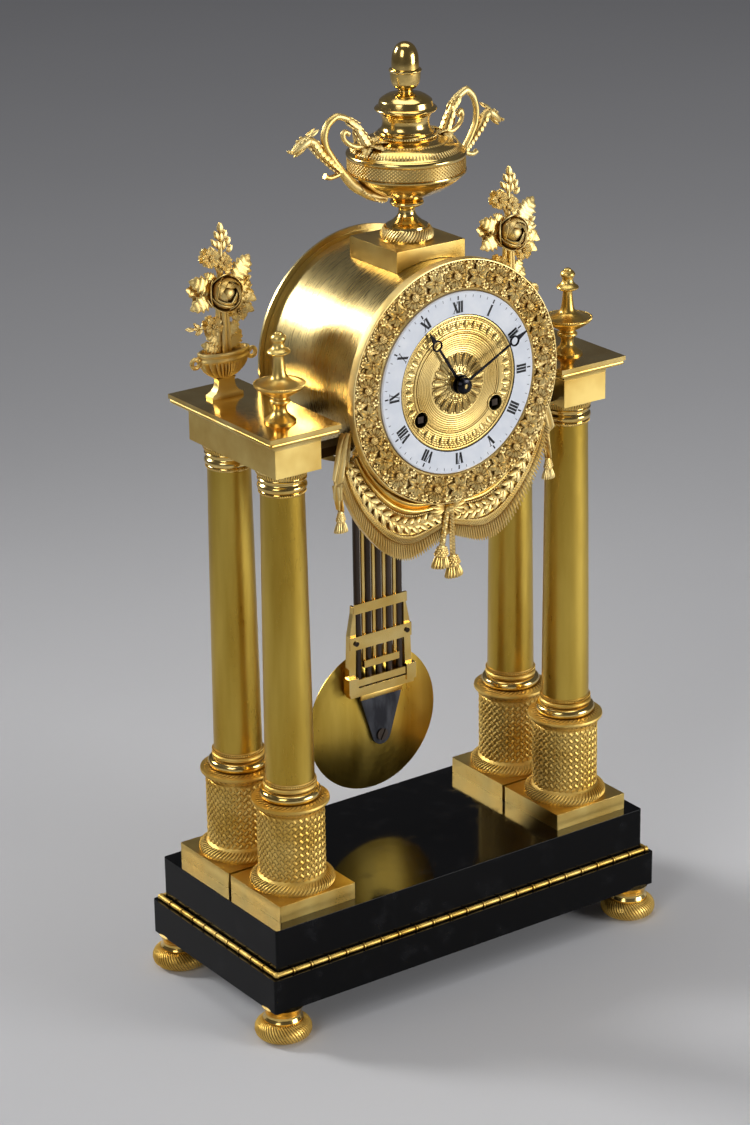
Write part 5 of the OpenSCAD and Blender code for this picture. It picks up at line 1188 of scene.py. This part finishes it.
# %% Both handles, settled on the urn
INNER_LEG_DROP, LEG_ABOVE, LEG_EDGE, LEG_FADE = 4.4, 45, 40, 12  # the loop's inner leg: to the shoulder
ROOT_RISE, ROOT_EDGE, ROOT_FADE = 2.0, 37, 8  # the stem's root: up to the bowl
ROOT_X, LOOP_FOOT, LOOP_EDGE = 22.0, 54.0, 49.5
HANDLES = {  # piece: the node it replaces, side, reach, tilt, taller loop
    "beast_handle_left": ("urn_handle_left", -1, 1.10, 0.035, 0),
    "beast_handle_right": ("urn_handle_right", 1, 0.88, -0.035, 0.22),
}


def settled(p):
    """A point of the handle, moved so that both ends lie on the urn."""
    if p.z > LEG_ABOVE:
        return Vector((p.x, p.y, p.z - INNER_LEG_DROP * min(1, max(0, (LEG_EDGE - p.x) / LEG_FADE))))
    return Vector((p.x, p.y, p.z + ROOT_RISE * min(1, max(0, (ROOT_EDGE - p.x) / ROOT_FADE))))


def shaped(p, side, reach, tilt, taller):
    """A point of one side's handle: stretched outwards from its root, tilted, its loop made taller."""
    beyond = p.x - ROOT_X
    loop = max(0.0, p.z - LOOP_FOOT) * (p.x < LOOP_EDGE)
    x = ROOT_X + beyond * (reach if beyond > 0 else 1)
    return Vector((side * x, p.y, p.z + tilt * max(0.0, beyond) + taller * loop))


sculpt(handle, settled)
for name, (node, *form) in HANDLES.items():
    piece = joined(name, [copies(handle, [Matrix.Identity(4)], keep=True)])
    sculpt(piece, lambda p: shaped(p, *form))
    close_up(piece)
    finish_piece(piece, "chased_gilding", METRES @ at(0, -URN_FRONT, URN_Z))
    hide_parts(node)
bpy.data.objects.remove(handle)

# %% [markdown]
# ## The bouquets
# Behind each finial a little boat of flowers holds a cast bouquet: a full rose in the middle, open
# flowers, toothed leaves and a spray of buds on top. The rose is four rings of cupped petals: each petal
# is a patch of a globe with a curled lip, and the inner rings are smaller, steeper and stand higher.
# Leaves are blades with teeth.

# %% A rose, an open flower, a leaf and a bud
CUP_RISE = 12


def cup_ring(name, count, radius, spread, lip, lift, first, curl=0.05):
    """A ring of cupped petals, open towards z: patches of a globe whose edge rolls outwards."""
    def cupped(p):
        u, v = p.x * 2, p.y + 0.5
        rise = math.radians(CUP_RISE + (lip - CUP_RISE) * v * (1 - 0.3 * u * u))
        out = radius * (1 + curl * v ** 5) - 0.5 * u
        turn = math.radians(first + spread / 2 * u)
        across = out * math.sin(rise)
        return Vector((across * math.cos(turn), across * math.sin(turn), lift - out * math.cos(rise)))

    petal = sculpt(start(name, "grid", x_subdivisions=12, y_subdivisions=8, size=1), cupped)
    return ring_of(thickened(petal, 0.55), count)


def open_petal(p):
    """A broad petal with a scalloped edge, hollow along the middle."""
    u, v = p.x * 2, p.y + 0.5
    half = 2.1 * math.sin(math.pi * (0.12 + 0.60 * v)) ** 0.8
    out = 0.6 + 4.3 * v * (1 - 0.16 * u ** 2) + 0.2 * v * math.cos(9 * u)
    height = 0.3 + 1.3 * v - 0.9 * v * v + 0.6 * u * u * v + 0.12 * math.cos(14 * u)
    return Vector((half * u, out, height))


rose = joined("rose", [
    cup_ring("outer", 5, 8.2, 104, 98, 0.0, 20, 0.16), cup_ring("third", 4, 7.5, 124, 124, 0.1, 62),
    cup_ring("second", 3, 6.8, 146, 140, 0.3, 10), cup_ring("first", 3, 6.1, 136, 154, 0.5, 70),
    bead("heart", 4.9, 1.0, 14, 10)])
sculpt(rose, lambda p: Vector((p.x, p.y, p.z * 0.8)))
petal = sculpt(start("flower_petal", "grid", x_subdivisions=12, y_subdivisions=6, size=1), open_petal)
eyes = copies(bead("flower_eye", 0.62), [
    round_at(r, 360 * k / n, h) for r, n, h in ((1.0, 6, 1.0), (0, 1, 1.5)) for k in range(n)])
open_flower = joined("open_flower", [ring_of(thickened(petal, 0.5), 5), eyes])
rose_leaf = blade("rose_leaf", 1.0, 0.62, 0.11, widest=0.48, blunt=0.8, groove=0.5, rise=0.07, droop=0.08,
                  teeth=6, segments=12, rings=37)
bud = blade("bud", 5.0, 2.4, 2.2, widest=0.4, blunt=0.8, groove=0.2, segments=8, rings=7)
for unit in (rose, open_flower, rose_leaf, bud):
    print(unit.name, "faces:", len(unit.data.polygons))

# %% Leaves and stalks
def upright(x, z, depth=0.0, turn=0.0, size=1.0, lean=0.0):
    """A place on the bouquet that looks forwards, turned about the line of sight and leaning back."""
    return at(x, depth, z, turn, size, 90 - lean)


LEAF_ENDS = ((5, 34, 19, 46), (3, 38, 4, 50), (-4, 32, -18.5, 38.5), (-5, 29, -20, 24), (6, 26, 18, 35.5),
             (-2, 0, -13, 4.5), (2, 0, 12, 8), (-1, 2, -10, 10), (2, 6, 10, 14), (6, 25, 16, 26),
             (-3, 36, -10, 41))  # x and height of the root, then of the tip
places = []
for x0, z0, x1, z1 in LEAF_ENDS:
    turn, length = math.degrees(math.atan2(z1 - z0, x1 - x0)) - 90, math.hypot(x1 - x0, z1 - z0)
    places += [upright(x0, z0, depth, turn, length, lean) for depth, lean in ((-1.0, 14), (1.2, -166))]
STALKS = ((-2.9, 0, 1.5), (0, -0.9, 1.7), (2.9, 0, 1.5), (-1.4, 1.2, 1.6), (1.5, 1.2, 1.6))  # x, y, radius
SIDE_STALKS = (((1, 20), (8, 25), (15.4, 33.6)), ((8, 25), (12, 26), (16, 25.6)),
               ((-1, 8), (-9, 12.4), (-18.4, 13.4)), ((-1, 40), (-4, 45), (-6.7, 48.4)))
sprays = [cord("stalk", [(x * 1.15, y, -4), (x, y, 8), (x * 0.8, y, 24)], [r, r, r * 0.9])
          for x, y, r in STALKS]
sprays.append(cord("top_stalk", [(0, 0.4, 22), (-0.4, 0.2, 40), (0.3, 0, 58)], [2.2, 1.8, 0.8], 5))
sprays += [cord("side_stalk", [(x, 0, z) for x, z in knots], [1.2, 0.95, 0.7], 4, 2) for knots in SIDE_STALKS]
sprays.append(copies(rose_leaf, places))
print("stalks and leaves:", len(STALKS) + len(SIDE_STALKS) + 1, "and", len(places))

# %% Flowers and buds, and both bouquets
BASKET_Y, BASKET_H = 26.1, 25.0
FLOWERS = ((-6.7, 48.4, 10, 1.0), (-6.2, 13.2, 30, 1.0), (9.0, 18.4, 0, 1.0), (1.6, 44.8, 24, 0.8))
BUDS = ((0.3, 60, 90, 1.15), (-1.2, 57, 108, 1.0), (1.8, 56.8, 70, 1.0), (-2.4, 53.4, 118, 1.0),
        (3.2, 53.2, 62, 1.0), (0.4, 55.4, 90, 1.1), (-3.2, 50.4, 124, 0.9), (1.2, 51.4, 80, 1.0),
        (-0.8, 51.8, 100, 1.0), (4.2, 49.6, 56, 0.9), (14.6, 33.2, 40, 0.75), (14.4, 29.4, 20, 0.8),
        (15.0, 25.4, 0, 0.75), (-17.4, 13.4, 176, 0.9), (-14.0, 13.3, 132, 0.85),
        (-12.6, 12.8, 222, 0.9))  # x, height, turn, size, as for the flowers
sprays.append(copies(rose, [upright(0, 30, -4.2, 8, 1.04, 8), upright(0, 29, 3.6, 0, 0.85, 180)]))
sprays.append(copies(open_flower, [upright(x, z, depth, turn, size, lean) for x, z, turn, size in FLOWERS
                                   for depth, lean in ((-1.6, 8), (1.6, 188))]))
sprays.append(copies(bud, [upright(x, z, depth, turn - 90, size) for x, z, turn, size in BUDS
                           for depth in (-0.7, 0.8)]))
bouquets = copies(joined("gilt_bouquets", sprays),
                  [at(s * COLUMN_X, BASKET_Y, CORNICE_TOP + BASKET_H) for s in (-1, 1)])
finish_piece(bouquets, "chased_gilding")
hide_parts("bouquets")

# %% [markdown]
# ## The baskets
# The bouquets stand in gadrooned boats on a flaring rectangular foot. A lathe gives the outline, and its
# points are then moved: the circle becomes a boat with nearly pointed ends, and lobes swell between foot
# and rim. The foot is a lathe piece of only four sides. A ring hangs at each end.

# %% The boat
BOAT_X, BOAT_Y, LOBES, POINTED = 15.3, 7.8, 24, 1.75
LOBE_LOW, LOBE_SPAN = 10.2, 9.6
BOAT = [(0, 9.4), (0.30, 9.6), (0.34, 10.3), (0.48, 11.2), (0.62, 12.6), (0.74, 14.4), (0.83, 16.4),
        (0.89, 18.4), (0.915, 19.6), (0.95, 20.0), (0.965, 20.6), (0.95, 21.2), (0.93, 21.6), (0.94, 22.6),
        (0.985, 23.0), (1.0, 23.7), (0.99, 24.6), (0.95, 25.0), (0.86, 24.8), (0.84, 24.0), (0, 23.4)]


def boat_form(p):
    """A lens-shaped plan, with lobes that swell between the foot and the rim."""
    angle = math.atan2(p.y, p.x)
    plan = abs(math.cos(angle) / BOAT_X) ** POINTED + abs(math.sin(angle) / BOAT_Y) ** POINTED
    up = min(1.0, max(0.0, (p.z - LOBE_LOW) / LOBE_SPAN))
    swell = max(0.0, math.sin(math.pi * up)) ** 0.5
    lobe = plan ** (-1 / POINTED) * (1 + 0.22 * swell * (abs(math.sin(angle * LOBES / 2)) - 0.75))
    return Vector((p.x * lobe, p.y * lobe, p.z))


boat = sculpt(turned("basket", BOAT, 192), boat_form)
print("boat faces:", len(boat.data.polygons))

# %% Its foot and rings, and two baskets
FOOT = [(9.4, 3.0, 0), (9.4, 3.0, 1.5), (9.0, 2.8, 1.9), (7.0, 2.5, 3.0), (5.6, 2.3, 4.8), (4.9, 2.2, 7.0),
        (4.8, 2.2, 9.4), (5.4, 2.6, 10.4)]  # half width, half depth, height
HOOP_X, HOOP_Z, HOOP_R, HOOP_POINTS = 16.8, 20.2, 2.3, 15
half_sizes = {round(z, 3): (x, y) for x, y, z in FOOT}


def foot_form(p):
    """A point of the four-sided foot, at the half sizes of its height."""
    x, y = half_sizes.get(round(p.z, 3), (1, 1))
    return Vector((p.x * x, p.y * y, p.z))


foot = turned("basket_foot", [(0, 0)] + [(math.sqrt(2), z) for x, y, z in FOOT] + [(0, 10.5)], 4)
foot.data.transform(at(0, 0, 0, 45))
sculpt(foot, foot_form)
angles = [2 * math.pi * k / HOOP_POINTS for k in range(HOOP_POINTS)]
hoop = [(HOOP_X + HOOP_R * math.cos(a), 0, HOOP_Z + HOOP_R * math.sin(a)) for a in angles]
hoop = cord("hoop", hoop + hoop[:1], [1.15] * (HOOP_POINTS + 1), 2, 2)
stud = copies(bead("hoop_stud", 1.5, 1.0, 10, 8), [at(15.2, 0, 21.8)])
ends = copies(joined("basket_ends", [hoop, stud]), [at(0, 0, 0, turn) for turn in (0, 180)])
baskets = joined("gadroon_baskets", [boat, foot, ends])
baskets = copies(baskets, [at(s * COLUMN_X, BASKET_Y, CORNICE_TOP) for s in (-1, 1)])
finish_piece(baskets, "chased_gilding")
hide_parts("flower_baskets")

# %% [markdown]
# ## Screws
# Two small steel screws hold the pendulum's frame to its second bar, and a larger one pins the iron
# tongue. On each head two cuts are laid across, and the strip between them is pushed in for the slot. A
# gilt strip with softened edges covers the tongue's top.

# %% Slotted screws and the tongue's strip
SLOT_HALF, SLOT_DEPTH = 0.16, 0.6  # shares of the head's radius and height


def screw(name, radius, height):
    """A cheese-head screw towards z, with a slot across it."""
    head = start(name, "cylinder", vertices=28, radius=radius, depth=height)
    head.data.transform(at(0, 0, height / 2))
    edit_all(head)
    for side in (-1, 1):
        bpy.ops.mesh.select_all(action="SELECT")
        bpy.ops.mesh.bisect(plane_co=(0, side * radius * SLOT_HALF, 0), plane_no=(0, 1, 0))
    edit_faces(head, lambda centre: centre.z > height * 0.99 and abs(centre.y) < radius * SLOT_HALF * 0.9)
    bpy.ops.mesh.extrude_region_move(TRANSFORM_OT_translate={"value": (0, 0, -height * SLOT_DEPTH)})
    bpy.ops.mesh.select_mode(type="VERT")
    leave_edit_mode()
    return head


STRIP_FRONT, TONGUE_FRONT, BOB_Z = 19.9, 21.0, 121.7
on_frame = [at(s * 16.7, STRIP_FRONT, BOB_Z + 50.5, 35, pitch=90) for s in (-1, 1)]
on_tongue = [at(0, TONGUE_FRONT, BOB_Z - 6.8, 64, pitch=90)]
screws = joined("pendulum_screws", [copies(screw("frame_screws", 1.4, 0.8), on_frame),
                                    copies(screw("tongue_screw", 3.4, 0.9), on_tongue)])
finish_piece(screws, "rod_steel", body="pendulum", angle=25)
strip = start("tongue_strip", "cube", size=1)
strip.data.transform(at(0, TONGUE_FRONT - 0.1, BOB_Z + 17.7) @ Matrix.Diagonal((27.4, 1.0, 3.0, 1)))
edit_all(strip)
bpy.ops.mesh.bevel(offset=0.2, segments=2, affect="EDGES")
leave_edit_mode()
finish_piece(strip, "satin_gilding", body="pendulum", angle=25)
